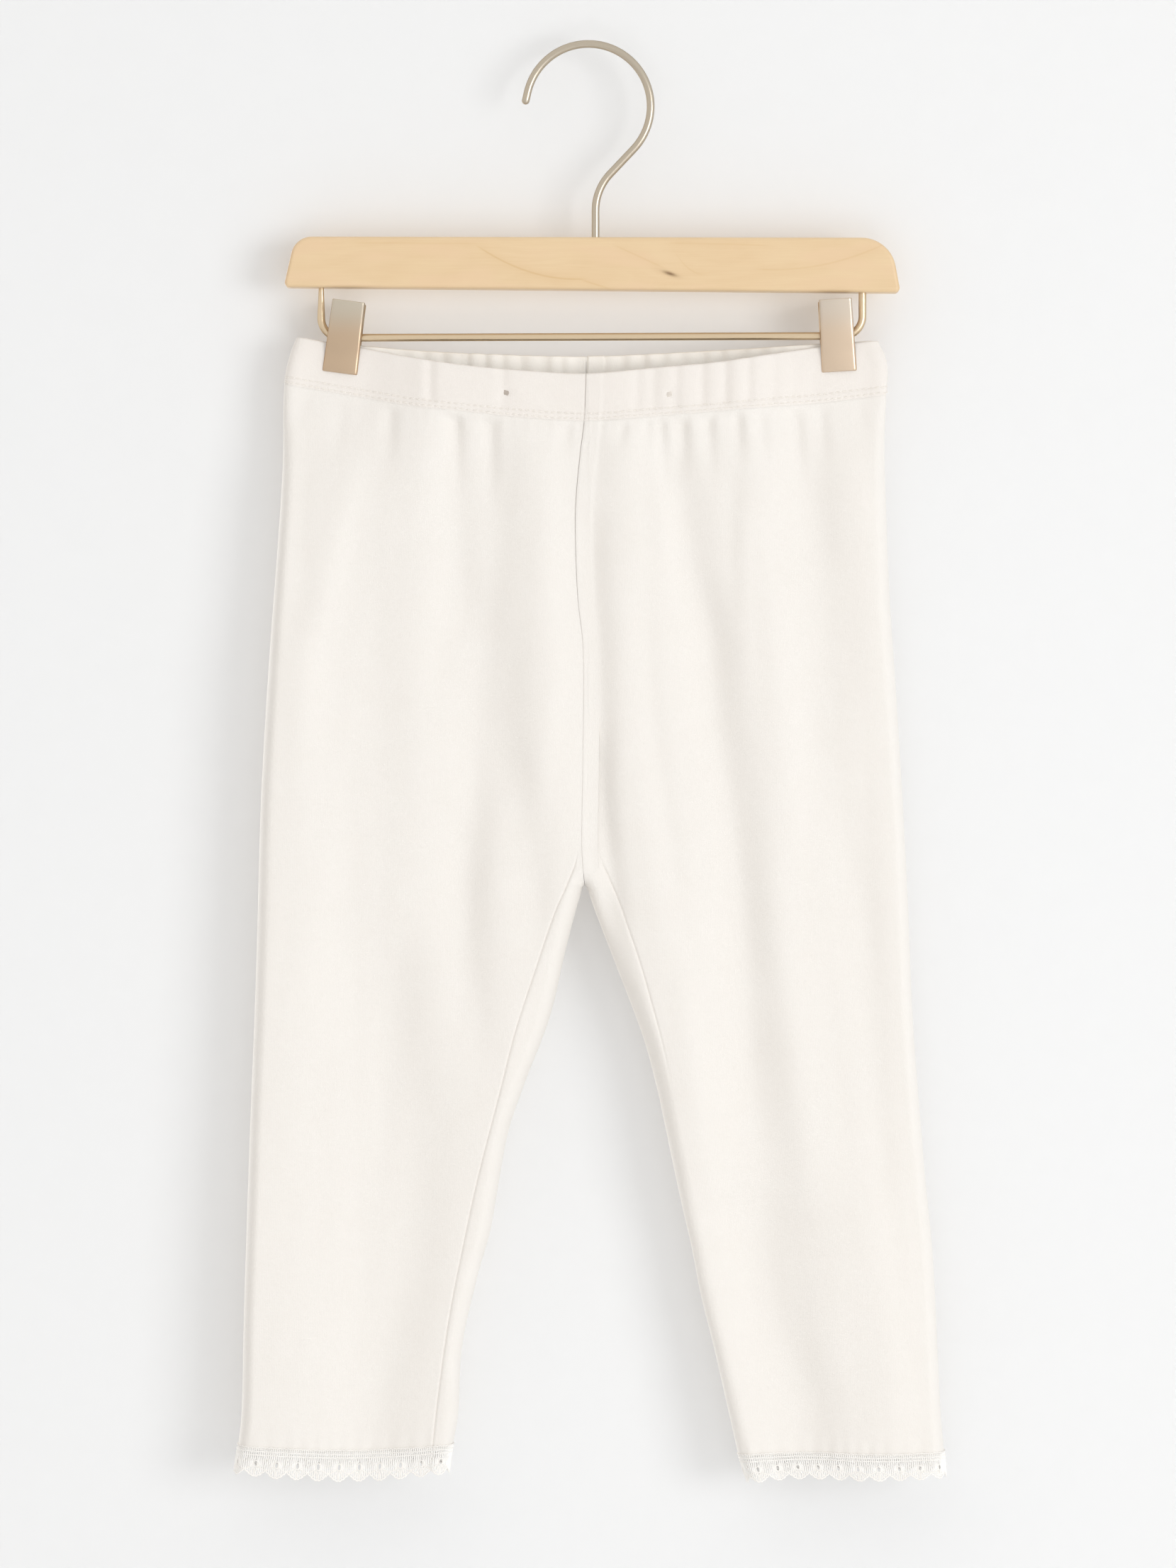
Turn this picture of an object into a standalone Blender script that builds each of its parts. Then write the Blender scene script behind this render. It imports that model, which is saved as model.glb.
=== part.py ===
"""Capri leggings hung by the waist on a clip hanger.

The garment is two leg panels, a turned-down waist casing and lace round each hem. All of them
are walls on one surface, cloth_point, which follows the outline, the hollow and the folds.
Sizes in the tables are millimetres, +Z up, the front faces -Y, and left is -X.
The origin is the inside top of the hook.
"""

import math
from collections import namedtuple

import bmesh
import bpy
from mathutils import Matrix, Vector

MM = 0.001

# Cloth sizes
PANEL_WALL = 1.2
CASING_WALL = 2.4
CASING_PROUD = 0.35
CASING_EDGE_WALL = 1.1
LACE_WALL = 1.0
SEAM_GAP = 0.3
SEAM_RUN = 0.5 * SEAM_GAP
CROTCH_Z = -361.6
CROTCH_X = -1.6
SIDE_ROUND = 5.5
INSEAM_ROUND = 6.5
ROUND_SHARE = 0.13
FOLD_START = 30.0
FOLD_FADE = 0.35
SCALLOP_PITCH = 9.0
SCALLOP_DEPTH = 2.6
LACE_WAVE = 1.1
LACE_WAVE_LENGTH = 23.0

# Hanger sizes
WIRE_RADIUS = 1.65
HOOK_RADIUS = 26.9
HOOK_TIP_ANGLE = 167
HOOK_TIP_RUN = 5.4
HOOK_LEAVE_ANGLE = -44
NECK_RADIUS = 23.0
STEM_X = 3.1
BAR_DEPTH = 12.0
BAR_EDGE = 1.6
SOCKET_DEPTH = 8.0
SOCKET_CLEARANCE = 0.3
BEND_RADIUS = 8.5
HOOK_CENTRE_Z = WIRE_RADIUS - HOOK_RADIUS

# Clip sizes
JAW_SHEET = 0.9
JAW_CROWN = 0.3
JAW_TOP_WIDTH = 14.2
JAW_FOOT_WIDTH = 15.2
CLIP_GRIP = 5.2
CLIP_REACH = 9.0
CLIP_FADE = 34.0
CLIP_FOOT_Z = -142.0
CLIP_DROP = 60.0
SPRING_RADIUS = 2.95
SPRING_BORE = 2.0
SPRING_LENGTH = 6.8
SPRING_SHIFT = 1.8
SPRING_TURNS = 5
SPRING_GROOVE = 0.3
SPRING_SIDES = 14

FRONT, BACK = -1, 1

Clip = namedtuple("Clip", "x lean")
CLIPS = {"left": Clip(-105.2, 7.5), "right": Clip(107.3, -3.5)}

# Heights across the waist: edge and stitch line, front and back.
Waist = namedtuple("Waist", "x front_top front_line back_top back_line")
WAIST = (
    Waist(-133.0, -125.0, -144.8, -125.0, -144.8),
    Waist(-125.0, -124.9, -146.3, -124.8, -146.0),
    Waist(-112.0, -127.2, -148.6, -126.9, -147.6),
    Waist(-95.0, -129.9, -151.5, -128.6, -149.6),
    Waist(-77.7, -133.4, -154.7, -129.9, -151.2),
    Waist(-53.4, -137.2, -157.4, -131.2, -152.8),
    Waist(-25.4, -139.7, -160.2, -132.2, -154.0),
    Waist(0.0, -140.8, -161.4, -132.6, -154.6),
    Waist(28.2, -138.3, -159.5, -131.5, -153.7),
    Waist(56.3, -135.7, -157.2, -130.0, -152.0),
    Waist(80.8, -131.8, -155.0, -128.6, -150.6),
    Waist(98.5, -129.0, -153.6, -127.6, -149.6),
    Waist(112.0, -127.5, -152.0, -127.0, -148.8),
    Waist(123.3, -126.2, -150.6, -126.1, -148.0),
    Waist(132.0, -126.6, -149.4, -126.6, -149.4),
)

# Outer edge of each leg by height.
OUTER = {
    "left": (
        (-124.8, -127.5), (-134.0, -130.6), (-146.0, -131.4), (-181.0, -131.9), (-218.0, -134.3),
        (-255.0, -137.1), (-291.5, -139.5), (-328.0, -141.4), (-402.0, -143.5), (-475.0, -146.3),
        (-548.5, -148.7), (-590.0, -149.7), (-606.0, -151.6), (-618.0, -153.4),
    ),
    "right": (
        (-126.2, 124.6), (-136.0, 128.4), (-150.0, 128.6), (-169.0, 127.9), (-196.0, 128.5),
        (-237.0, 130.1), (-277.0, 132.8), (-318.0, 135.3), (-369.0, 138.0), (-419.0, 140.1),
        (-487.0, 145.4), (-521.0, 148.7), (-589.0, 152.1), (-606.0, 153.6), (-618.0, 154.4),
    ),
}

# Inner edge of each leg by height, from the crotch down.
INNER = {
    "left": (
        (-361.6, -1.75), (-362.2, -2.5), (-365.0, -3.2), (-372.0, -5.3), (-390.0, -9.9),
        (-419.0, -16.8), (-445.0, -26.7), (-467.0, -34.3), (-490.0, -38.7), (-511.5, -42.5),
        (-531.0, -48.0), (-561.0, -54.5), (-590.0, -56.2), (-606.0, -59.0), (-618.0, -60.6),
    ),
    "right": (
        (-361.6, -1.45), (-362.2, -0.7), (-366.0, 0.6), (-374.0, 3.4), (-395.0, 11.5),
        (-427.0, 23.6), (-449.0, 29.6), (-472.0, 34.5), (-498.0, 40.0), (-517.0, 44.4),
        (-539.0, 48.7), (-561.0, 54.2), (-601.0, 63.3), (-608.0, 65.0), (-620.0, 69.0),
    ),
}

# Centre seams by height.
SEAMS = {
    FRONT: (
        (-139.0, -0.9), (-160.8, -1.7), (-174.9, -3.4), (-193.6, -5.2), (-207.7, -5.6),
        (-236.7, -4.6), (-260.3, -2.2), (-310.0, -2.4), (-345.9, -2.8), (CROTCH_Z, CROTCH_X),
    ),
    BACK: (
        (-132.0, -1.0), (-160.0, -0.6), (-215.0, 2.2), (-270.0, 3.0), (-330.0, 0.2),
        (CROTCH_Z, CROTCH_X),
    ),
}

# Half depth of the hanging cloth by height, front and back.
HALF_DEPTH = {
    FRONT: (
        (-124.0, 8.0), (-141.0, 9.0), (-163.0, 10.0), (-205.0, 11.6), (-270.0, 12.0),
        (-361.0, 10.8), (-430.0, 10.0), (-520.0, 10.0), (-604.0, 11.2), (-620.0, 11.8),
    ),
    BACK: (
        (-124.0, 6.0), (-141.0, 6.6), (-163.0, 8.2), (-205.0, 10.2), (-270.0, 11.6),
        (-361.0, 10.4), (-430.0, 9.6), (-520.0, 9.6), (-604.0, 10.8), (-620.0, 11.4),
    ),
}

# Hem of each leg: cloth edge and lace edge across it, front and back.
Hem = namedtuple("Hem", "x front_edge front_lace back_edge back_lace")
HEMS = {
    "left": (
        Hem(-154.0, -603.6, -614.8, -603.6, -614.8),
        Hem(-130.0, -605.0, -617.2, -602.8, -614.4),
        Hem(-96.0, -606.0, -618.6, -602.2, -614.0),
        Hem(-58.0, -603.4, -614.6, -603.4, -614.6),
    ),
    "right": (
        Hem(64.0, -608.0, -619.4, -608.0, -619.4),
        Hem(92.0, -607.0, -617.6, -605.2, -615.6),
        Hem(124.0, -607.4, -618.0, -605.0, -615.4),
        Hem(155.0, -606.6, -616.6, -606.6, -616.6),
    ),
}

# Long folds. Depth is how far the cloth goes in, and a ridge is negative. The path is (x, z).
Fold = namedtuple("Fold", "face depth width path")
FOLDS = (
    Fold(FRONT, 1.5, 12, (
        (-83, -150), (-85, -216), (-84, -267), (-81, -320), (-84, -385), (-80, -487), (-78, -570),
    )),
    Fold(FRONT, 1.3, 6, ((-54, -150), (-51, -216), (-49, -262))),
    Fold(FRONT, 2.8, 8, ((-38, -150), (-33, -200), (-32, -267), (-35, -325), (-42, -372))),
    Fold(FRONT, 1.6, 5, ((-50, -325), (-45, -400), (-36, -440))),
    Fold(FRONT, 1.8, 7, ((-28, -310), (-19, -350), (-14, -385))),
    Fold(FRONT, -1.6, 6, (
        (-91, -150), (-100, -198), (-105, -215), (-108, -231), (-111, -245), (-117, -262),
        (-117, -320),
    )),
    Fold(FRONT, -1.3, 7, ((-63, -150), (-66, -207), (-69, -290), (-67, -360))),
    Fold(FRONT, -1.5, 7, ((-16, -155), (-15, -180), (-12, -245), (-13, -300), (-15, -340))),
    Fold(FRONT, -1.4, 9, ((-52, -325), (-56, -380), (-62, -440))),
    Fold(FRONT, -2.0, 15, ((-117, -240), (-114, -330), (-118, -420), (-121, -520), (-121, -640))),
    Fold(FRONT, 2.6, 12, ((-76, -525), (-81, -580), (-84, -640))),
    Fold(FRONT, 1.4, 6, ((8, -150), (6, -200), (6, -226))),
    Fold(FRONT, 4.2, 6, (
        (6.4, -180), (7.2, -228), (9, -254), (11, -280), (12, -315), (16, -350), (24, -400),
    )),
    Fold(FRONT, 3.2, 8, (
        (42, -150), (45, -189), (48.5, -206), (49, -224), (53, -237), (57, -254), (60, -280),
        (64, -318), (69, -369), (74, -419), (82, -470), (96, -540),
    )),
    Fold(FRONT, 3.2, 15, ((97, -510), (113, -565), (119, -640))),
    Fold(FRONT, 1.8, 9, (
        (103, -150), (102, -194), (106, -228), (108, -262), (111, -301), (117, -345), (125, -420),
        (130, -470),
    )),
    Fold(FRONT, -1.4, 4, ((35, -150), (35, -198), (39, -240))),
    Fold(FRONT, -1.7, 10, (
        (85, -150), (84, -190), (81, -211), (85, -237), (88, -271), (88, -330), (92, -400),
        (101, -460), (110, -520),
    )),
    Fold(FRONT, -1.4, 8, ((23, -150), (25, -250), (31, -320), (43, -390), (53, -460), (63, -560))),
    Fold(FRONT, -1.1, 6, ((113, -150), (121, -194), (126, -219), (131, -320))),
    Fold(FRONT, -1.6, 10, ((128, -480), (137, -560), (140, -640))),
    Fold(BACK, 2.6, 8, ((-88, -140), (-95, -220), (-99, -300), (-101, -360))),
    Fold(BACK, 1.6, 7, ((-58, -140), (-55, -205), (-50, -270))),
    Fold(BACK, 3.2, 8, ((-26, -140), (-22, -215), (-24, -300), (-34, -380), (-49, -450))),
    Fold(BACK, 1.5, 10, ((-112, -330), (-106, -430), (-101, -520), (-97, -600))),
    Fold(BACK, -1.5, 10, ((-75, -150), (-76, -260), (-80, -380), (-84, -500))),
    Fold(BACK, -1.4, 8, ((-41, -145), (-38, -240), (-44, -330), (-58, -420))),
    Fold(BACK, 3.0, 9, ((34, -140), (31, -220), (28, -290), (33, -365), (45, -430), (58, -500))),
    Fold(BACK, 1.8, 8, ((66, -140), (72, -215), (75, -290))),
    Fold(BACK, 2.4, 9, ((97, -140), (92, -230), (91, -330), (96, -430), (103, -530), (106, -600))),
    Fold(BACK, -1.5, 9, ((52, -145), (54, -250), (58, -350), (70, -450), (80, -560))),
    Fold(BACK, -1.4, 9, ((114, -160), (113, -280), (118, -400), (125, -520))),
    Fold(BACK, 2.2, 13, ((-120, -540), (-116, -640))),
    Fold(BACK, 2.4, 13, ((128, -530), (134, -640))),
)

# Short gathers that hang from the stitch line. Slant is how far the foot lies outwards.
Gather = namedtuple("Gather", "face x depth width length slant")
GATHERS = (
    Gather(FRONT, -119, 1.3, 3.6, 26, -7),
    Gather(FRONT, -104, 1.2, 3.4, 34, -3),
    Gather(FRONT, -83, 1.3, 3.6, 30, -1),
    Gather(FRONT, -55, 1.3, 3.8, 38, 1),
    Gather(FRONT, -40, 1.7, 3.4, 48, 1),
    Gather(FRONT, -8, 0.9, 3.0, 22, 0),
    Gather(FRONT, 17, 1.0, 2.8, 18, -2),
    Gather(FRONT, 27, 1.0, 2.4, 20, 1),
    Gather(FRONT, 33, 1.4, 2.6, 46, 2),
    Gather(FRONT, 43, 0.9, 2.6, 18, 1),
    Gather(FRONT, 53, 1.4, 2.8, 36, 3),
    Gather(FRONT, 66, 1.0, 3.0, 28, 2),
    Gather(FRONT, 76, 1.2, 3.0, 34, 3),
    Gather(FRONT, 90, 1.5, 3.4, 44, 4),
    Gather(FRONT, 101, 1.1, 3.0, 26, 3),
    Gather(FRONT, 118, 1.1, 3.2, 22, 4),
    Gather(BACK, -117, 1.2, 3.4, 30, -5),
    Gather(BACK, -103, 1.3, 3.0, 26, -3),
    Gather(BACK, -90, 1.4, 3.2, 40, -2),
    Gather(BACK, -73, 1.2, 3.0, 28, -1),
    Gather(BACK, -59, 1.4, 3.2, 44, 1),
    Gather(BACK, -44, 1.1, 2.8, 24, 0),
    Gather(BACK, -27, 1.5, 3.2, 46, 1),
    Gather(BACK, -13, 1.0, 2.8, 22, 0),
    Gather(BACK, 12, 1.2, 3.0, 26, 1),
    Gather(BACK, 24, 1.0, 2.8, 24, 0),
    Gather(BACK, 36, 1.5, 3.2, 42, -1),
    Gather(BACK, 52, 1.1, 3.0, 28, 1),
    Gather(BACK, 67, 1.4, 3.2, 38, 2),
    Gather(BACK, 83, 1.1, 3.0, 24, 1),
    Gather(BACK, 98, 1.4, 3.2, 40, -1),
    Gather(BACK, 115, 1.2, 3.2, 28, 4),
)

# Gathers within the casing: one right half on the front, and all along the back.
CASING_GATHERS = {
    FRONT: (-106, -68, -37, 21, 28, 38, 49, 59, 69, 80, 89, 98, 118),
    BACK: (
        -119, -110, -101, -93, -84, -75, -67, -58, -49, -41, -33, -24, -15, -8,
        11, 19, 28, 36, 45, 54, 62, 71, 80, 88, 97, 106, 115,
    ),
}
CASING_GATHER_DEPTH = 0.8
CASING_GATHER_WIDTH = 2.5
GATHER_START = 5.0

# Outline of the wooden bar seen from the front, with the radius of each corner.
BAR_CORNERS = (
    (-131.4, -103.6, 2.0), (134.6, -106.0, 2.0), (130.2, -82.3, 15.0), (-126.4, -81.8, 9.0),
)
WIRE_LEFT, WIRE_RIGHT = (-115.3, -125.2), (118.3, -124.4)

# A jaw's side profile: height above the wire, from the middle plane to the plate, side ear.
Jaw = namedtuple("Jaw", "height distance ear")
JAW_PROFILE = (
    Jaw(15.6, 7.5, 1.2),
    Jaw(11.0, 6.4, 2.6),
    Jaw(6.0, 5.3, 3.2),
    Jaw(0.8, 4.6, 2.6),
    Jaw(-1.6, 4.3, 0.9),
    Jaw(-8.0, 3.3, 0.15),
    Jaw(-15.5, 2.95, 0.05),
)

# Rows of the panels: share of the way from the stitch line to the crotch, then to the hem.
TORSO_ROWS = (0.03, 0.075, 0.14, 0.23, 0.36, 0.52, 0.69, 0.85, 0.945, 0.985)
LEG_ROWS = (0.012, 0.04, 0.1, 0.18, 0.28, 0.4, 0.52, 0.64, 0.76, 0.88)
PANEL_COLUMNS = {FRONT: 31, BACK: 19}
CASING_COLUMNS = {FRONT: 46, BACK: 38}
LACE_COLUMNS = {FRONT: 50, BACK: 44}
ROUND_STEPS = 4
CASING_LEVELS = (0.0, 0.06, 0.5)
CROTCH_LEVEL, HEM_LEVEL, LACE_LEVEL = 2.0, 3.0, 4.0
STEP = 0.0015


def smooth_step(value):
    value = min(max(value, 0.0), 1.0)
    return value * value * (3.0 - 2.0 * value)


def through(rows, at):
    """Height of a smooth curve through (position, value) rows, in either order of position."""
    if rows[0][0] > rows[-1][0]:
        rows = rows[::-1]
    if at <= rows[0][0]:
        return rows[0][1]
    if at >= rows[-1][0]:
        return rows[-1][1]
    i = max(k for k in range(len(rows) - 1) if rows[k][0] <= at)

    def slope(k):
        low, high = max(k - 1, 0), min(k + 1, len(rows) - 1)
        return (rows[high][1] - rows[low][1]) / (rows[high][0] - rows[low][0])

    (x0, y0), (x1, y1) = rows[i], rows[i + 1]
    span = x1 - x0
    t = (at - x0) / span
    hermite = (2 * t**3 - 3 * t**2 + 1) * y0 + (3 * t**2 - 2 * t**3) * y1
    return hermite + span * ((t**3 - 2 * t**2 + t) * slope(i) + (t**3 - t**2) * slope(i + 1))


def column(rows, name):
    return tuple((row.x, getattr(row, name)) for row in rows)


LEVELS = {
    FRONT: (column(WAIST, "front_top"), column(WAIST, "front_line")),
    BACK: (column(WAIST, "back_top"), column(WAIST, "back_line")),
}
HEM_LEVELS = {
    side: {
        FRONT: (column(rows, "front_edge"), column(rows, "front_lace")),
        BACK: (column(rows, "back_edge"), column(rows, "back_lace")),
    }
    for side, rows in HEMS.items()
}


def height(side, face, level, x):
    """Level 0 is the waist edge, 1 the stitch line, 2 the crotch, 3 the hem and 4 the lace edge."""
    top, line = LEVELS[face]
    hem, lace = HEM_LEVELS[side][face]
    if level < 1:
        upper, lower = through(top, x), through(line, x)
    elif level < CROTCH_LEVEL:
        upper, lower = through(line, x), CROTCH_Z
    elif level < HEM_LEVEL:
        upper, lower = CROTCH_Z, through(hem, x)
    else:
        upper, lower = through(hem, x), through(lace, x)
    share = level - min(math.floor(level), LACE_LEVEL - 1)
    return upper + (lower - upper) * share


def inner_edge(side, face, level, z):
    if level >= CROTCH_LEVEL:
        return through(INNER[side], z)
    away = -SEAM_RUN if side == "left" else SEAM_RUN
    return through(SEAMS[face], z) + away


def across(side, face, level, share, z):
    """X at a share of the way from the inner edge to the outer edge, closer set at both ends."""
    inner, outer = inner_edge(side, face, level, z), through(OUTER[side], z)
    width = abs(outer - inner)
    if share < ROUND_SHARE:
        run = INSEAM_ROUND * (1 - math.cos(0.5 * math.pi * share / ROUND_SHARE))
    elif share > 1 - ROUND_SHARE:
        run = width - SIDE_ROUND * (1 - math.cos(0.5 * math.pi * (1 - share) / ROUND_SHARE))
    else:
        middle = (share - ROUND_SHARE) / (1 - 2 * ROUND_SHARE)
        run = INSEAM_ROUND + (width - INSEAM_ROUND - SIDE_ROUND) * middle
    return inner + math.copysign(run, outer - inner)


def rounding(distance, radius):
    share = 1 - min(max(distance, 0.0), radius) / radius
    return math.sqrt(max(0.0, 1 - share * share))


def pinch(x, z):
    """1 where a clip holds the layers together, fading to 0 around it."""
    most = 0.0
    for clip in CLIPS.values():
        middle = clip.x + (z - wire_height(clip.x)) * math.tan(math.radians(clip.lean))
        beside = smooth_step(1 - (abs(x - middle) - CLIP_REACH) / CLIP_FADE)
        below = smooth_step(1 - (CLIP_FOOT_Z - z) / CLIP_DROP)
        most = max(most, beside * below)
    return most


def fold_depth(face, x, z):
    """How far the long folds take the cloth in at (x, z)."""
    total = 0.0
    for fold in FOLDS:
        top, foot = fold.path[0][1], fold.path[-1][1]
        if fold.face != face or not foot < z < top:
            continue
        middle = through(tuple((pz, px) for px, pz in fold.path), z)
        fade = (top - foot) * FOLD_FADE
        ends = smooth_step((top - z) / FOLD_START) * smooth_step((z - foot) / fade)
        total += fold.depth * ends * math.exp(-(((x - middle) / fold.width) ** 2))
    return total


def gather_depth(face, level, x, z):
    """How far the gathers take the cloth in, above and below the stitch line."""
    drop = through(LEVELS[face][1], x) - z
    total = 0.0
    if drop > 0:
        for gather in GATHERS:
            if gather.face != face or drop > gather.length:
                continue
            middle = gather.x + gather.slant * drop / gather.length
            fade = smooth_step(drop / GATHER_START) * smooth_step(1 - drop / gather.length)
            total += gather.depth * fade * math.exp(-(((x - middle) / gather.width) ** 2))
    else:
        for middle in CASING_GATHERS[face]:
            total += CASING_GATHER_DEPTH * math.exp(-(((x - middle) / CASING_GATHER_WIDTH) ** 2))
        total *= smooth_step(-drop / GATHER_START)
    return total


def cloth_point(side, around, level):
    """A point on the outside of the cloth. Around runs 0 to 1 over the front and 1 to 2 back."""
    if level >= CROTCH_LEVEL:
        around %= 2.0
    face = FRONT if around <= 1 else BACK
    share = around if around <= 1 else 2 - around
    x = 0.0 if level < 1 else through(OUTER[side], CROTCH_Z) * share
    for _ in range(4):
        z = height(side, face, level, x)
        x = across(side, face, level, share, z)
    z = height(side, face, level, x)
    outer_run = abs(through(OUTER[side], z) - x)
    if level >= CROTCH_LEVEL:
        inner_run = abs(x - inner_edge(side, face, level, z))
    else:
        inner_run = math.hypot(x - CROTCH_X, z - CROTCH_Z)
    ends = rounding(outer_run, SIDE_ROUND) * rounding(inner_run, INSEAM_ROUND)
    held = pinch(x, z)
    full = through(HALF_DEPTH[face], z) - fold_depth(face, x, z) - gather_depth(face, level, x, z)
    half = full * (1 - held) + (0.5 * CLIP_GRIP - CASING_PROUD) * held
    if level > HEM_LEVEL:
        half += LACE_WAVE * (level - HEM_LEVEL) * math.sin(2 * math.pi * x / LACE_WAVE_LENGTH)
    return Vector((x, face * half * ends, z))


def cloth_normal(side, around, level, rim):
    """Outward normal of the cloth. On a centre seam it has no X, so both panels agree there."""
    open_edge = level < CROTCH_LEVEL
    low = max(around - STEP, 0.0) if open_edge else around - STEP
    high = min(around + STEP, 2.0) if open_edge else around + STEP
    along = cloth_point(side, high, level) - cloth_point(side, low, level)
    down = cloth_point(side, around, level + STEP) - cloth_point(side, around, max(level - STEP, 0.0))
    normal = along.cross(down) if side == "left" else down.cross(along)
    if rim:
        normal.x = 0.0
    return normal.normalized()


def columns_of(counts):
    """Places round the loop, with ROUND_STEPS of them in each rounded end."""
    def one_face(count):
        ends = [ROUND_SHARE * k / ROUND_STEPS for k in range(ROUND_STEPS)]
        flat = count - 2 * ROUND_STEPS
        middle = [ROUND_SHARE + (1 - 2 * ROUND_SHARE) * k / flat for k in range(flat + 1)]
        return ends + middle + [1 - share for share in reversed(ends)]

    front, back = one_face(counts[FRONT]), one_face(counts[BACK])
    return front + [2 - share for share in reversed(back[:-1])]


def new_material(name, colour, roughness, metallic=0.0):
    material = bpy.data.materials.new(name)
    material.use_nodes = True
    shader = material.node_tree.nodes["Principled BSDF"]
    shader.inputs["Base Color"].default_value = (*colour, 1.0)
    shader.inputs["Roughness"].default_value = roughness
    shader.inputs["Metallic"].default_value = metallic
    return material


def new_object(name, mesh, material):
    mesh.materials.append(material)
    obj = bpy.data.objects.new(name, mesh)
    bpy.context.scene.collection.objects.link(obj)
    return obj


def mesh_of(name, build):
    """A mesh in metres from a bmesh that build fills in millimetres."""
    mesh = bpy.data.meshes.new(name)
    work = bmesh.new()
    build(work)
    bmesh.ops.recalc_face_normals(work, faces=work.faces)
    bmesh.ops.scale(work, vec=(MM, MM, MM), verts=work.verts)
    work.to_mesh(mesh)
    work.free()
    return mesh


def cloth_wall(name, side, levels, around, proud, walls, material, edge=None):
    """A wall on the cloth surface between the first and last level, closed on all its edges.

    proud moves the outside out, walls is the thickness at each level, and edge(place) lowers
    the last row. Rows from the crotch down close into a ring, and rows above it stay open.
    """
    closed_from = next((i for i, level in enumerate(levels) if level >= CROTCH_LEVEL), len(levels))
    last = len(around) - 1

    def build(work):
        outside, inside = [], []
        for i, level in enumerate(levels):
            outer_row, inner_row = [], []
            for j, place in enumerate(around[:-1] if i >= closed_from else around):
                on_seam = j in (0, last) and level <= CROTCH_LEVEL
                point = cloth_point(side, place, level)
                normal = cloth_normal(side, place, level, on_seam)
                if edge and i == len(levels) - 1:
                    point.z += edge(point.x)
                outer_row.append(work.verts.new(point + normal * proud))
                inner_row.append(work.verts.new(point + normal * (proud - walls[i])))
            if i >= closed_from:
                outer_row.append(outer_row[0])
                inner_row.append(inner_row[0])
            outside.append(outer_row)
            inside.append(inner_row)
        for i in range(len(levels) - 1):
            for j in range(last):
                work.faces.new((outside[i][j], outside[i][j + 1], outside[i + 1][j + 1], outside[i + 1][j]))
                work.faces.new((inside[i][j], inside[i + 1][j], inside[i + 1][j + 1], inside[i][j + 1]))
            if i < closed_from:
                for j in (0, last):
                    work.faces.new((outside[i][j], outside[i + 1][j], inside[i + 1][j], inside[i][j]))
        for i in (0, len(levels) - 1):
            for j in range(last):
                work.faces.new((outside[i][j], outside[i][j + 1], inside[i][j + 1], inside[i][j]))

    mesh = mesh_of(name, build)
    mesh.shade_smooth()
    mesh.set_sharp_from_angle(angle=math.radians(50))
    return new_object(name, mesh, material)


def make_cloth(side, cloth, lace):
    """The waist casing, the leg panel and the lace of one leg, a seam gap apart."""
    line_z = through(LEVELS[FRONT][1], 0.0)
    casing_height = through(LEVELS[FRONT][0], 0.0) - line_z
    torso_gap = SEAM_RUN / (line_z - CROTCH_Z)
    leg_gap = SEAM_RUN / (CROTCH_Z - HEMS[side][0].front_edge)
    lace_gap = SEAM_RUN / (HEMS[side][0].front_edge - HEMS[side][0].front_lace)

    casing_levels = (*CASING_LEVELS, 1 - SEAM_RUN / casing_height)
    casing_walls = (CASING_EDGE_WALL, CASING_WALL, CASING_WALL, CASING_WALL)
    around = columns_of(CASING_COLUMNS)
    cloth_wall(f"waist_casing_{side}", side, casing_levels, around, CASING_PROUD, casing_walls, cloth)

    torso = [1 + torso_gap] + [1 + share for share in TORSO_ROWS]
    leg = [CROTCH_LEVEL] + [CROTCH_LEVEL + share for share in LEG_ROWS] + [HEM_LEVEL - leg_gap]
    panel_levels = torso + leg
    panel_walls = [PANEL_WALL] * len(panel_levels)
    around = columns_of(PANEL_COLUMNS)
    cloth_wall(f"leg_panel_{side}", side, panel_levels, around, 0.0, panel_walls, cloth)

    def scallop(x):
        return SCALLOP_DEPTH * (1 - abs(math.cos(math.pi * x / SCALLOP_PITCH)))

    around = columns_of(LACE_COLUMNS)
    lace_levels = (HEM_LEVEL + lace_gap, LACE_LEVEL)
    cloth_wall(f"lace_{side}", side, lace_levels, around, 0.0, [LACE_WALL] * 2, lace, scallop)


def arc(centre, radius, start, end, steps):
    """Points in the XZ plane from one angle to another, in degrees."""
    points = []
    for k in range(steps + 1):
        angle = math.radians(start + (end - start) * k / steps)
        points.append((centre[0] + radius * math.cos(angle), centre[1] + radius * math.sin(angle)))
    return points


def wire_object(name, points, material):
    """A round wire through (x, z) points, with flat ends."""
    data = bpy.data.curves.new(name, "CURVE")
    data.dimensions = "3D"
    data.bevel_depth = WIRE_RADIUS * MM
    data.bevel_resolution = 3
    data.use_fill_caps = True
    spline = data.splines.new("POLY")
    spline.points.add(len(points) - 1)
    for place, (x, z) in zip(spline.points, points):
        place.co = (x * MM, 0.0, z * MM, 1.0)
    spline.use_smooth = True
    data.materials.append(material)
    obj = bpy.data.objects.new(name, data)
    bpy.context.scene.collection.objects.link(obj)
    return obj


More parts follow.
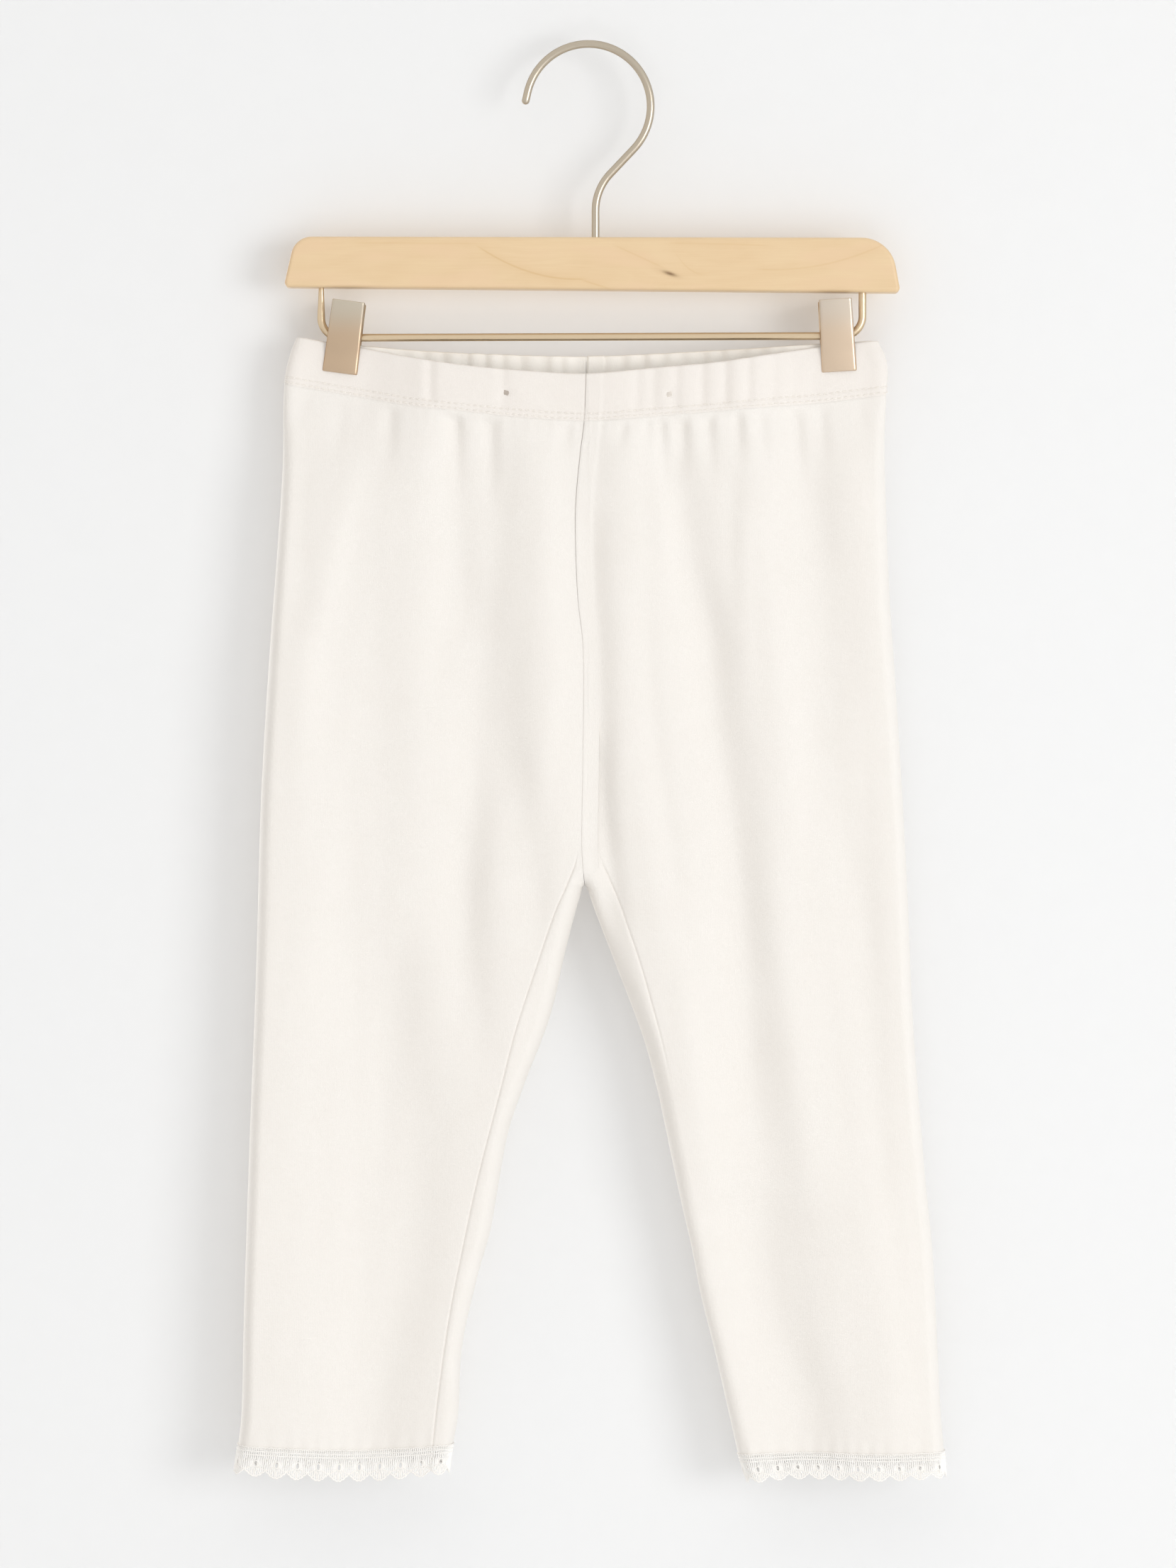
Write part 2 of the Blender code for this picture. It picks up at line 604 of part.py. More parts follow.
def make_hook(metal):
    """The hook's round, its neck and the stem that goes down into the bar."""
    centre = (0.0, HOOK_CENTRE_Z)
    tip = math.radians(HOOK_TIP_ANGLE)
    start = (HOOK_RADIUS * math.cos(tip), HOOK_CENTRE_Z + HOOK_RADIUS * math.sin(tip))
    run = (-math.sin(tip) * HOOK_TIP_RUN, math.cos(tip) * HOOK_TIP_RUN)
    points = [(start[0] + run[0], start[1] + run[1])]
    points += arc(centre, HOOK_RADIUS, HOOK_TIP_ANGLE, HOOK_LEAVE_ANGLE, 26)
    leave = math.radians(HOOK_LEAVE_ANGLE)
    turn = math.cos(leave)
    neck_x = STEM_X + NECK_RADIUS * (1 - turn)
    left_x, left_z = points[-1]
    neck_z = left_z - (left_x - neck_x)
    neck_centre = (STEM_X + NECK_RADIUS, neck_z - NECK_RADIUS * turn)
    points += arc(neck_centre, NECK_RADIUS, 180 + HOOK_LEAVE_ANGLE, 180, 8)
    points.append((STEM_X, bar_edge_z(STEM_X, top=True) - SOCKET_DEPTH + SOCKET_CLEARANCE))
    return wire_object("hanger_hook", points, metal)


def bar_edge_z(x, top):
    """Height of the bar's top or bottom edge at x."""
    (x0, z0, _), (x1, z1, _) = (BAR_CORNERS[3], BAR_CORNERS[2]) if top else BAR_CORNERS[:2]
    return z0 + (z1 - z0) * (x - x0) / (x1 - x0)


def make_wire(metal):
    """The U of wire under the bar that carries both clips."""
    (left_x, left_z), (right_x, right_z) = WIRE_LEFT, WIRE_RIGHT
    socket = SOCKET_DEPTH - SOCKET_CLEARANCE
    points = [(left_x, bar_edge_z(left_x, top=False) + socket)]
    points += arc((left_x + BEND_RADIUS, left_z + BEND_RADIUS), BEND_RADIUS, 180, 270, 7)
    points += arc((right_x - BEND_RADIUS, right_z + BEND_RADIUS), BEND_RADIUS, 270, 360, 7)
    points.append((right_x, bar_edge_z(right_x, top=False) + socket))
    return wire_object("clip_wire", points, metal)


def rounded_outline(corners, steps=6):
    """Points round an outline whose corners are (x, z, radius)."""
    points = []
    count = len(corners)
    for i, (x, z, radius) in enumerate(corners):
        here = Vector((x, z))
        before = (Vector(corners[i - 1][:2]) - here).normalized()
        after = (Vector(corners[(i + 1) % count][:2]) - here).normalized()
        half = 0.5 * before.angle(after)
        reach = radius / math.tan(half)
        centre = here + (before + after).normalized() * radius / math.sin(half)
        start, end = here + before * reach - centre, here + after * reach - centre
        turn = start.angle_signed(end)
        for k in range(steps + 1):
            points.append(centre + Matrix.Rotation(-turn * k / steps, 2) @ start)
    return points


def cutter(name, build):
    """A shape that only cuts."""
    obj = bpy.data.objects.new(name, mesh_of(name, build))
    bpy.context.scene.collection.objects.link(obj)
    obj.hide_render = True
    obj.display_type = "WIRE"
    return obj


def cut(obj, tool):
    boolean = obj.modifiers.new(tool.name, "BOOLEAN")
    boolean.operation = "DIFFERENCE"
    boolean.object = tool


def rod(work, radius, length, matrix, sides=16):
    bmesh.ops.create_cone(
        work, cap_ends=True, segments=sides, radius1=radius, radius2=radius, depth=length, matrix=matrix
    )


def make_bar(wood):
    """The wooden bar, with a socket for the hook and one for each end of the wire."""
    def build(work):
        outline = rounded_outline(BAR_CORNERS)
        front = work.faces.new([work.verts.new((x, -0.5 * BAR_DEPTH, z)) for x, z in outline])
        moved = bmesh.ops.extrude_face_region(work, geom=[front])["geom"]
        corners = [item for item in moved if isinstance(item, bmesh.types.BMVert)]
        bmesh.ops.translate(work, vec=(0, BAR_DEPTH, 0), verts=corners)

    bar = new_object("hanger_bar", mesh_of("hanger_bar", build), wood)
    bevel = bar.modifiers.new("rounded edges", "BEVEL")
    bevel.width = BAR_EDGE * MM
    bevel.segments = 2
    bevel.limit_method = "ANGLE"
    bevel.angle_limit = math.radians(60)

    def sockets(work):
        spots = ((STEM_X, True), (WIRE_LEFT[0], False), (WIRE_RIGHT[0], False))
        for x, top in spots:
            edge = bar_edge_z(x, top)
            rod(work, WIRE_RADIUS + SOCKET_CLEARANCE, 2 * SOCKET_DEPTH, Matrix.Translation((x, 0, edge)))

    cut(bar, cutter("bar_sockets", sockets))
    bar.data.shade_smooth()
    bar.data.set_sharp_from_angle(angle=math.radians(35))
    return bar


def jaw_section(row, width):
    """Points of the jaw's channel section at one height: round the outside, then back inside."""
    half = 0.5 * width
    plate = row.distance + JAW_SHEET + JAW_CROWN
    edge = row.distance + 0.5 * JAW_SHEET
    tip = row.distance - row.ear
    outside = ((-half, tip), (-half, edge), (JAW_SHEET - half, plate), (half - JAW_SHEET, plate))
    outside += ((half, edge), (half, tip))
    inside = ((half - JAW_SHEET, tip), (half - JAW_SHEET, row.distance))
    inside += ((JAW_SHEET - half, row.distance), (JAW_SHEET - half, tip))
    return [(x, y, row.height) for x, y in outside + inside]


def make_jaw(name, clip, face, metal):
    """One pressed plate of a clip, with side ears beside the wire."""
    top, foot = JAW_PROFILE[0].height, JAW_PROFILE[-1].height

    def build(work):
        rows = []
        for row in JAW_PROFILE:
            share = (top - row.height) / (top - foot)
            width = JAW_TOP_WIDTH + (JAW_FOOT_WIDTH - JAW_TOP_WIDTH) * share
            rows.append([work.verts.new((x, face * y, z)) for x, y, z in jaw_section(row, width)])
        size = len(rows[0])
        for upper, lower in zip(rows, rows[1:]):
            for k in range(size):
                work.faces.new((upper[k], upper[(k + 1) % size], lower[(k + 1) % size], lower[k]))
        work.faces.new(rows[0])
        work.faces.new(rows[-1])

    jaw = new_object(name, mesh_of(name, build), metal)
    jaw.location = (clip.x * MM, 0, wire_height(clip.x) * MM)
    jaw.rotation_euler = (0, math.radians(clip.lean), 0)
    return jaw


def wire_height(x):
    """Height of the wire's middle at x, between its bends."""
    (left_x, left_z), (right_x, right_z) = WIRE_LEFT, WIRE_RIGHT
    return left_z + (right_z - left_z) * (x - left_x) / (right_x - left_x)


def make_spring(name, clip, metal):
    """The coil round the wire that closes the clip, as touching turns on a sleeve."""
    def build(work):
        profile = []
        for turn in range(SPRING_TURNS):
            for share, bulge in ((0.0, 0.0), (0.5, 1.0)):
                profile.append(((turn + share) / SPRING_TURNS - 0.5, bulge))
        profile.append((0.5, 0.0))
        root = SPRING_RADIUS - SPRING_GROOVE
        ring = [(SPRING_LENGTH * at, root + SPRING_GROOVE * bulge) for at, bulge in profile]
        ring += [(0.5 * SPRING_LENGTH, SPRING_BORE), (-0.5 * SPRING_LENGTH, SPRING_BORE)]
        rows = []
        for k in range(SPRING_SIDES):
            turn = Matrix.Rotation(2 * math.pi * k / SPRING_SIDES, 3, "X")
            rows.append([work.verts.new(turn @ Vector((x, 0, radius))) for x, radius in ring])
        for k in range(SPRING_SIDES):
            here, there = rows[k], rows[(k + 1) % SPRING_SIDES]
            for i in range(len(ring)):
                j = (i + 1) % len(ring)
                work.faces.new((here[i], here[j], there[j], there[i]))

    spring = new_object(name, mesh_of(name, build), metal)
    x = clip.x - math.copysign(SPRING_SHIFT, clip.x)
    spring.location = (x * MM, 0, wire_height(x) * MM)
    spring.data.shade_smooth()
    spring.data.set_sharp_from_angle(angle=math.radians(60))
    return spring


def clear_scene():
    for obj in list(bpy.data.objects):
        bpy.data.objects.remove(obj)


def main():
    clear_scene()
    cloth = new_material("cream_jersey", (0.91, 0.87, 0.80), 0.9)
    lace = new_material("cream_lace", (0.93, 0.90, 0.84), 0.85)
    wood = new_material("pale_wood", (0.82, 0.61, 0.37), 0.45)
    steel = new_material("satin_steel", (0.62, 0.55, 0.46), 0.32, metallic=1.0)
    clip_metal = new_material("champagne_metal", (0.64, 0.52, 0.40), 0.4, metallic=1.0)
    for side in ("left", "right"):
        make_cloth(side, cloth, lace)
    make_bar(wood)
    make_hook(steel)
    make_wire(steel)
    for side, clip in CLIPS.items():
        make_jaw(f"clip_front_{side}", clip, FRONT, clip_metal)
        make_jaw(f"clip_back_{side}", clip, BACK, clip_metal)
        make_spring(f"clip_spring_{side}", clip, steel)


main()
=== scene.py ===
"""Looks of the capri leggings on their clip hanger.

Sizes are millimetres until a mesh is made, +Z up, the front faces -Y, and left is -X.
The cloth surface is worked out from the same tables as the solids, with finer folds on top.
"""

import math
from collections import namedtuple

import bmesh
import bpy
import numpy as np
from mathutils import Matrix, Vector


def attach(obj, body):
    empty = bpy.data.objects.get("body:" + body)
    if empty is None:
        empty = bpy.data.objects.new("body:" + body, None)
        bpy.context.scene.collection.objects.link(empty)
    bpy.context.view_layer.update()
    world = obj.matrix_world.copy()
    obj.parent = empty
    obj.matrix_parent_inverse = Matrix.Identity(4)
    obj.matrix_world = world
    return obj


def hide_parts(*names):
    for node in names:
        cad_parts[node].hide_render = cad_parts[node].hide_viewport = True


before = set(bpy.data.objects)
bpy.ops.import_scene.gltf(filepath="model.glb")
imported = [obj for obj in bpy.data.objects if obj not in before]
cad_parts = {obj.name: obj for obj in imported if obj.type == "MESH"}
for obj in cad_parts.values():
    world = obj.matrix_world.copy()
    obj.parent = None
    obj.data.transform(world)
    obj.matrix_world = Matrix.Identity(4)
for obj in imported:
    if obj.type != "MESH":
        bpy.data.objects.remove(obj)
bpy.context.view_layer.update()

MM = 0.001
RNG = np.random.default_rng(11)

# The photograph's frame: pixels, and the millimetres that one pixel covers on the garment
PHOTO_WIDTH, PHOTO_HEIGHT = 1659, 2212
MM_PER_PIXEL = 0.306
ORIGIN_PIXEL = (830.0, 67.4)
CAMERA_DISTANCE = 3200.0
SENSOR = 36.0

# Cloth sizes, as in the solids
CASING_PROUD = 0.35
SEAM_RUN = 0.08
CROTCH_Z = -361.6
CROTCH_X = -1.6
SIDE_ROUND = 5.5
INSEAM_ROUND = 6.5
FOLD_START = 30.0
FOLD_FADE = 0.35
LACE_WAVE = 1.1
LACE_WAVE_LENGTH = 23.0
CLIP_GRIP = 5.2
CLIP_REACH = 9.0
CLIP_FADE = 34.0
CLIP_FOOT_Z = -142.0
CLIP_DROP = 60.0
CASING_GATHER_DEPTH = 0.8
CASING_GATHER_WIDTH = 2.5
GATHER_START = 5.0
CROTCH_LEVEL, HEM_LEVEL, LACE_LEVEL = 2.0, 3.0, 4.0

# Cloth sizes that only the looks need
JERSEY = 0.9
CASING_THICK = 2.2
INNER_ARC = 13.0
OUTER_ARC = 12.5
SEAM_ALLOWANCE = 6.9
TUCK = 0.4
FOLD_SPREAD = 1.3
FOLD_LEAN = 0.6
FOLD_SKEW = -0.18
GATHER_BOOST = 1.5
CALM_REACH, CALM_FADE = 20.0, 40.0
CLIP_SLACK = 0.6
RELIEF_AT_EDGE = 0.15
LEAST_SEAM_RUN = 0.8
SETTLING = 5
PANEL_ARC = 131.0
BESIDE_SEAM = (0.0, 0.35, 0.7, 1.1, 1.6, 2.3, 3.2, 4.3, 5.6, 7.0)

FRONT, BACK = -1, 1
FACES = {FRONT: "front", BACK: "back"}
SIDES = ("left", "right")

Clip = namedtuple("Clip", "x lean")
CLIPS = {"left": Clip(-105.2, 7.5), "right": Clip(107.3, -3.5)}
WIRE_LEFT, WIRE_RIGHT = (-115.3, -125.2), (118.3, -124.4)

# Heights across the waist: edge and stitch line, front and back.
Waist = namedtuple("Waist", "x front_top front_line back_top back_line")
WAIST = (
    Waist(-133, -125, -144.8, -125, -144.8),
    Waist(-125, -124.9, -146.3, -124.8, -146),
    Waist(-112, -127.2, -148.6, -126.9, -147.6),
    Waist(-95, -129.9, -151.5, -128.6, -149.6),
    Waist(-77.7, -133.4, -154.7, -129.9, -151.2),
    Waist(-53.4, -137.2, -157.4, -131.2, -152.8),
    Waist(-25.4, -139.7, -160.2, -132.2, -154),
    Waist(0, -140.8, -161.4, -132.6, -154.6),
    Waist(28.2, -138.3, -159.5, -131.5, -153.7),
    Waist(56.3, -135.7, -157.2, -130, -152),
    Waist(80.8, -131.8, -155, -128.6, -150.6),
    Waist(98.5, -129, -153.6, -127.6, -149.6),
    Waist(112, -127.5, -152, -127, -148.8),
    Waist(123.3, -126.2, -150.6, -126.1, -148),
    Waist(132, -126.6, -149.4, -126.6, -149.4),
)

# Outer edge of each leg by height.
OUTER = {
    "left": (
        (-124.8, -125.6), (-134, -128.6), (-146, -131.2), (-181, -131.9), (-218, -134.3),
        (-255, -137.1), (-291.5, -139.5), (-328, -141.4), (-402, -143.5), (-475, -146.3),
        (-548.5, -148.7), (-590, -149.7), (-606, -151.6), (-618, -153.4),
    ),
    "right": (
        (-126.2, 124.6), (-136, 128.4), (-150, 128.6), (-169, 127.9), (-196, 128.5), (-237, 130.1),
        (-277, 132.8), (-318, 135.3), (-369, 138), (-419, 140.1), (-487, 145.4), (-521, 148.7),
        (-589, 152.1), (-606, 153.6), (-618, 154.4),
    ),
}

# Inner edge of each leg by height, from the crotch down.
INNER = {
    "left": (
        (-361.6, -1.75), (-362.2, -2.5), (-365, -3.2), (-372, -5.3), (-390, -9.9), (-419, -16.8),
        (-445, -26.7), (-467, -34.3), (-490, -38.7), (-511.5, -42.5), (-531, -48), (-561, -54.5),
        (-590, -56.2), (-606, -59), (-618, -60.6),
    ),
    "right": (
        (-361.6, -1.45), (-362.2, -0.7), (-366, 0.6), (-374, 3.4), (-395, 11.5), (-427, 23.6),
        (-449, 29.6), (-472, 34.5), (-498, 40), (-517, 44.4), (-539, 48.7), (-561, 54.2),
        (-601, 63.3), (-608, 65), (-620, 69),
    ),
}

# Centre seams by height.
SEAMS = {
    FRONT: (
        (-139, -0.9), (-160.8, -1.7), (-174.9, -3.4), (-193.6, -5.2), (-207.7, -5.6),
        (-236.7, -4.6), (-260.3, -2.2), (-310, -2.4), (-345.9, -2.8), (CROTCH_Z, CROTCH_X),
    ),
    BACK: (
        (-132, -1), (-160, -0.6), (-215, 2.2), (-270, 3), (-330, 0.2), (CROTCH_Z, CROTCH_X),
    ),
}

# Where each leg's inseam shows on the front, by height. Above the crotch it joins the centre seam.
INSEAMS = {
    "left": (
        (-130, -4), (-330, -4.6), (-349, -5), (-361.3, -9.3), (-372.9, -14.4), (-395.2, -22),
        (-424.3, -31.5), (-448.2, -37.6), (-486.4, -47.4), (-511.5, -52.9), (-547.6, -60),
        (-582.5, -64.9), (-611, -67.9),
    ),
    "right": (
        (-130, 6), (-160, 5.2), (-200, 1.6), (-240, 2.4), (-262, 4.6), (-320, 4.4), (-347.5, 4.6),
        (-358.2, 8.9), (-369.2, 13.5), (-380.5, 17.4), (-394, 22), (-407.8, 26), (-432.9, 32.6),
        (-470, 40), (-530, 49), (-620, 71),
    ),
}

# Half depth of the hanging cloth by height, front and back.
HALF_DEPTH = {
    FRONT: (
        (-124, 8), (-141, 9), (-163, 10), (-205, 11.6), (-270, 12), (-361, 10.8), (-430, 10),
        (-520, 10), (-604, 11.2), (-620, 11.8),
    ),
    BACK: (
        (-124, 6), (-141, 6.6), (-163, 8.2), (-205, 10.2), (-270, 11.6), (-361, 10.4), (-430, 9.6),
        (-520, 9.6), (-604, 10.8), (-620, 11.4),
    ),
}

# Hem of each leg: cloth edge and lace edge across it, front and back.
Hem = namedtuple("Hem", "x front_edge front_lace back_edge back_lace")
HEMS = {
    "left": (
        Hem(-154, -603.6, -614.8, -603.6, -614.8),
        Hem(-130, -605, -617.2, -602.8, -614.4),
        Hem(-96, -606, -618.6, -602.2, -614),
        Hem(-58, -603.4, -614.6, -603.4, -614.6),
    ),
    "right": (
        Hem(64, -608, -619.4, -608, -619.4),
        Hem(92, -607, -617.6, -605.2, -615.6),
        Hem(124, -607.4, -618, -605, -615.4),
        Hem(155, -606.6, -616.6, -606.6, -616.6),
    ),
}

# Long folds. Depth is how far the cloth goes in, and a ridge is negative. The path is (x, z).
Fold = namedtuple("Fold", "depth width path")
FRONT_FOLDS = (
    Fold(1.0, 12, (
        (-83, -150), (-85, -216), (-84, -267), (-81, -320), (-84, -385), (-80, -487), (-78, -570),
    )),
    Fold(3.0, 14, ((-76, -370), (-74, -410), (-66, -470), (-72, -530), (-80, -590), (-84, -760))),
    Fold(1.3, 6, ((-54, -150), (-51, -216), (-49, -262))),
    Fold(3.6, 12, ((-38, -150), (-35, -200), (-34, -267), (-38, -325), (-46, -372), (-47, -450))),
    Fold(1.4, 7, ((-50, -325), (-45, -400), (-36, -460))),
    Fold(2.6, 8, ((-28, -285), (-20, -350), (-14, -400))),
    Fold(-1.6, 6, (
        (-91, -150), (-100, -198), (-105, -215), (-108, -231), (-111, -245), (-117, -262),
        (-117, -320),
    )),
    Fold(-0.8, 7, ((-63, -160), (-66, -207), (-69, -290), (-67, -360))),
    Fold(-1.5, 7, ((-16, -155), (-15, -180), (-12, -245), (-13, -300), (-15, -340))),
    Fold(-0.7, 9, ((-52, -325), (-56, -380), (-62, -440))),
    Fold(-2.0, 15, ((-117, -240), (-114, -330), (-118, -420), (-121, -520), (-121, -640))),
    Fold(1.6, 12, ((-76, -525), (-83, -580), (-87, -700))),
    Fold(1.4, 6, ((8, -150), (6, -200), (6, -226))),
    Fold(3.4, 6, (
        (5.5, -192), (6, -228), (8, -254), (9, -285), (10, -325), (13, -355), (22, -400),
    )),
    Fold(1.5, 4, ((9.5, -280), (10, -325), (13, -355), (20, -392))),
    Fold(4.2, 7, ((9, -350), (13, -380), (21, -410), (30, -440), (38, -500))),
    Fold(3.2, 8, (
        (42, -150), (43, -180), (47, -200), (50, -225), (57, -255), (60, -290), (66, -325),
        (70, -360), (73, -400), (76, -440), (84, -500),
    )),
    Fold(3.4, 12, (
        (73, -405), (76, -440), (79, -470), (83, -500), (86, -530), (94, -560), (106, -590),
        (112, -720),
    )),
    Fold(4.6, 22, ((80, -480), (86, -530), (93, -560), (99, -590), (108, -760))),
    Fold(1.8, 9, (
        (103, -150), (102, -194), (106, -228), (108, -262), (111, -301), (117, -345), (125, -420),
        (130, -470),
    )),
    Fold(-1.4, 4, ((35, -150), (35, -198), (39, -240))),
    Fold(-1.7, 10, (
        (85, -150), (84, -190), (81, -211), (85, -237), (88, -271), (88, -330), (92, -400),
        (101, -460), (110, -520),
    )),
    Fold(-1.4, 8, ((23, -150), (25, -250), (31, -320), (43, -390), (53, -460), (63, -560))),
    Fold(-1.1, 6, ((113, -150), (121, -194), (126, -219), (131, -320))),
    Fold(-1.6, 10, ((128, -480), (137, -560), (140, -640))),
)
BACK_FOLDS = (
    Fold(2.6, 8, ((-88, -140), (-95, -220), (-99, -300), (-101, -360))),
    Fold(1.6, 7, ((-58, -140), (-55, -205), (-50, -270))),
    Fold(3.2, 8, ((-26, -140), (-22, -215), (-24, -300), (-34, -380), (-49, -450))),
    Fold(1.5, 10, ((-112, -330), (-106, -430), (-101, -520), (-97, -600))),
    Fold(-1.5, 10, ((-75, -150), (-76, -260), (-80, -380), (-84, -500))),
    Fold(-1.4, 8, ((-41, -145), (-38, -240), (-44, -330), (-58, -420))),
    Fold(3.0, 9, ((34, -140), (31, -220), (28, -290), (33, -365), (45, -430), (58, -500))),
    Fold(1.8, 8, ((66, -140), (72, -215), (75, -290))),
    Fold(2.4, 9, ((97, -140), (92, -230), (91, -330), (96, -430), (103, -530), (106, -600))),
    Fold(-1.5, 9, ((52, -145), (54, -250), (58, -350), (70, -450), (80, -560))),
    Fold(-1.4, 9, ((114, -160), (113, -280), (118, -400), (125, -520))),
    Fold(2.2, 13, ((-120, -540), (-116, -640))),
    Fold(2.4, 13, ((128, -530), (134, -640))),
)
FOLDS = {FRONT: FRONT_FOLDS, BACK: BACK_FOLDS}

# Shallow creases that only the looks have.
FRONT_CREASES = (
    Fold(3.0, 28, ((-60, -200), (-62, -400), (-66, -760))),
    Fold(0.9, 2.6, ((-125, -146), (-130, -176))),
    Fold(0.5, 5.0, ((-100, -290), (-98, -400), (-96, -500), (-93, -570))),
    Fold(2.3, 10, ((-42, -215), (-43, -300), (-46, -350), (-47, -430))),
    Fold(1.2, 8, ((-56, -175), (-53, -225), (-56, -262), (-58, -290))),
    Fold(1.2, 8, ((-29, -240), (-30, -290), (-31, -335))),
    Fold(1.9, 9, (
        (52, -215), (60, -255), (66, -290), (74, -325), (77, -360), (81, -400), (85, -440),
        (91, -490), (103, -560), (113, -600),
    )),
    Fold(1.2, 8, ((103, -165), (105, -200), (108, -235))),
    Fold(0.6, 4.0, ((-47, -285), (-45, -345))),
    Fold(1.0, 5, ((27, -215), (31, -290), (38, -340), (47, -400))),
    Fold(0.7, 5.0, ((121, -290), (127, -420), (134, -520), (139, -590))),
    Fold(-0.5, 3.5, ((72, -180), (70, -230), (73, -290))),
    Fold(0.5, 3.0, ((66, -170), (64, -215), (66, -250))),
    Fold(0.6, 4.0, ((-117, -160), (-120, -200), (-119, -250))),
)
BACK_CREASES = (
    Fold(0.8, 4.0, ((-108, -150), (-112, -230), (-116, -330))),
    Fold(0.6, 4.0, ((-70, -250), (-66, -360), (-62, -470))),
    Fold(-0.6, 4.0, ((-12, -170), (-10, -260), (-14, -345))),
    Fold(0.7, 4.0, ((12, -160), (12, -250), (8, -340))),
    Fold(0.6, 4.5, ((82, -300), (84, -420), (90, -540))),
    Fold(-0.6, 4.0, ((84, -150), (82, -230), (84, -310))),
    Fold(0.8, 4.0, ((118, -150), (122, -240), (124, -340))),
    Fold(0.6, 5.0, ((-90, -380), (-88, -480), (-84, -590))),
)
CREASES = {FRONT: FRONT_CREASES, BACK: BACK_CREASES}

# Short gathers that hang from the stitch line. Slant is how far the foot lies outwards.
Gather = namedtuple("Gather", "x depth width length slant")
FRONT_GATHERS = (
    Gather(-119, 1.3, 3.6, 26, -7),
    Gather(-104, 1.2, 3.4, 34, -3),
    Gather(-83, 1.8, 3.6, 34, -1),
    Gather(-55, 2.1, 3.8, 42, 1),
    Gather(-40, 1.4, 3.4, 48, 1),
    Gather(-8, 0.9, 3.0, 22, 0),
    Gather(17, 1.0, 2.8, 18, -2),
    Gather(27, 1.0, 2.4, 20, 1),
    Gather(33, 1.4, 2.6, 46, 2),
    Gather(42, 1.8, 2.8, 30, 2),
    Gather(53, 1.4, 2.8, 36, 3),
    Gather(66, 1.6, 3.0, 30, 2),
    Gather(76, 1.2, 3.0, 34, 3),
    Gather(91, 1.9, 3.4, 44, 4),
    Gather(102, 1.7, 3.2, 32, 3),
    Gather(118, 1.1, 3.2, 22, 4),
)
BACK_GATHERS = (
    Gather(-117, 1.2, 3.4, 30, -5),
    Gather(-103, 1.3, 3.0, 26, -3),
    Gather(-90, 1.4, 3.2, 40, -2),
    Gather(-73, 1.2, 3.0, 28, -1),
    Gather(-59, 1.4, 3.2, 44, 1),
    Gather(-44, 1.1, 2.8, 24, 0),
    Gather(-27, 1.5, 3.2, 46, 1),
    Gather(-13, 1.0, 2.8, 22, 0),
    Gather(12, 1.2, 3.0, 26, 1),
    Gather(24, 1.0, 2.8, 24, 0),
    Gather(36, 1.5, 3.2, 42, -1),
    Gather(52, 1.1, 3.0, 28, 1),
    Gather(67, 1.4, 3.2, 38, 2),
    Gather(83, 1.1, 3.0, 24, 1),
    Gather(98, 1.4, 3.2, 40, -1),
    Gather(115, 1.2, 3.2, 28, 4),
)
GATHERS = {FRONT: FRONT_GATHERS, BACK: BACK_GATHERS}

# Gathers within the casing: one right half on the front, and all along the back.
CASING_GATHERS = {
    FRONT: (-106, -68, -37, 21, 28, 38, 49, 59, 69, 80, 89, 98, 118),
    BACK: (
        -119, -110, -101, -93, -84, -75, -67, -58, -49, -41, -33, -24, -15, -8,
        11, 19, 28, 36, 45, 54, 62, 71, 80, 88, 97, 106, 115,
    ),
}

# Narrow dips on the inside of the back casing, seen above the front edge: x, depth and width.
INSIDE_DIPS = (
    (-82, 0.5, 1.6), (-73, 0.7, 1.4), (-64, 0.6, 1.6), (-56.7, 0.9, 1.3), (-51.5, 0.8, 1.2),
    (-43.7, 1.0, 1.5), (-30.3, 1.1, 1.7), (-23.7, 0.9, 1.3), (-16.6, 1.0, 1.4), (-7.0, 0.9, 1.5),
    (12, 0.5, 1.6), (24.2, 0.8, 1.5), (34.6, 0.9, 1.5), (45, 0.6, 1.4), (57, 0.7, 1.6),
    (69, 0.5, 1.5),
)

# Small tacks on the front casing: x, z. Each has a sharp dent, and a soft one that runs down.
TACKS = {"left": (-35.1, -149.4), "right": (34.6, -150.2)}
Dent = namedtuple("Dent", "depth x z wide tall")
DENTS = (Dent(0.8, 0.0, 0.0, 1.7, 1.5), Dent(0.35, 2.0, -3.0, 2.6, 5.5))

# Faint unevenness of the cloth: cell size across and down, seed and depth.
UNEVEN = ((13, 75, 3, 0.42), (7, 42, 13, 0.13))
UNEVEN_LEAN = 0.12
LATTICE_SIZE = 64

# Small ripples, whose phase drifts along the cloth.
Ripple = namedtuple("Ripple", "depth length drift drift_length reach")
HEM_RIPPLE = Ripple(0.22, 6.7, 1.7, 9.0, 7.0)
LINE_RIPPLE = Ripple(0.16, 5.1, 2.0, 13.0, 6.0)
RIPPLE_START = 2.0

# Seam lines, and the heights where their look fades, each with the run of the fade.
Relief = namedtuple("Relief", "height reach")
BACK_SEAM, FRONT_SEAM = Relief(-0.25, 0.7), Relief(-0.22, 0.6)
INSEAM, INSEAM_RIDGE = Relief(-0.55, 0.42), Relief(0.22, 2.0)
RIDGE_AWAY = 2.2
ALLOWANCE_LIFT = 0.35
FAINT_SEAM = 0.15
TORSO_SEAM, CLEAR_SEAM = (-354.0, 16.0), (-265.0, 70.0)
LEG_INSEAM, RIGHT_INSEAM = (-346.0, 8.0), (-452.0, 40.0)

# The joined edges behind a centre seam: their section as x and place in the cloth.
ALLOWANCE = ((-0.7, -1.1), (-0.4, -0.5), (0.0, -0.2), (0.4, -0.5), (0.8, -1.1), (6.9, -1.1))
ALLOWANCE_THICK = 0.55
ALLOWANCE_FOOT, ALLOWANCE_CLOSE = (-361.0, 9.0), (-225.0, 40.0)

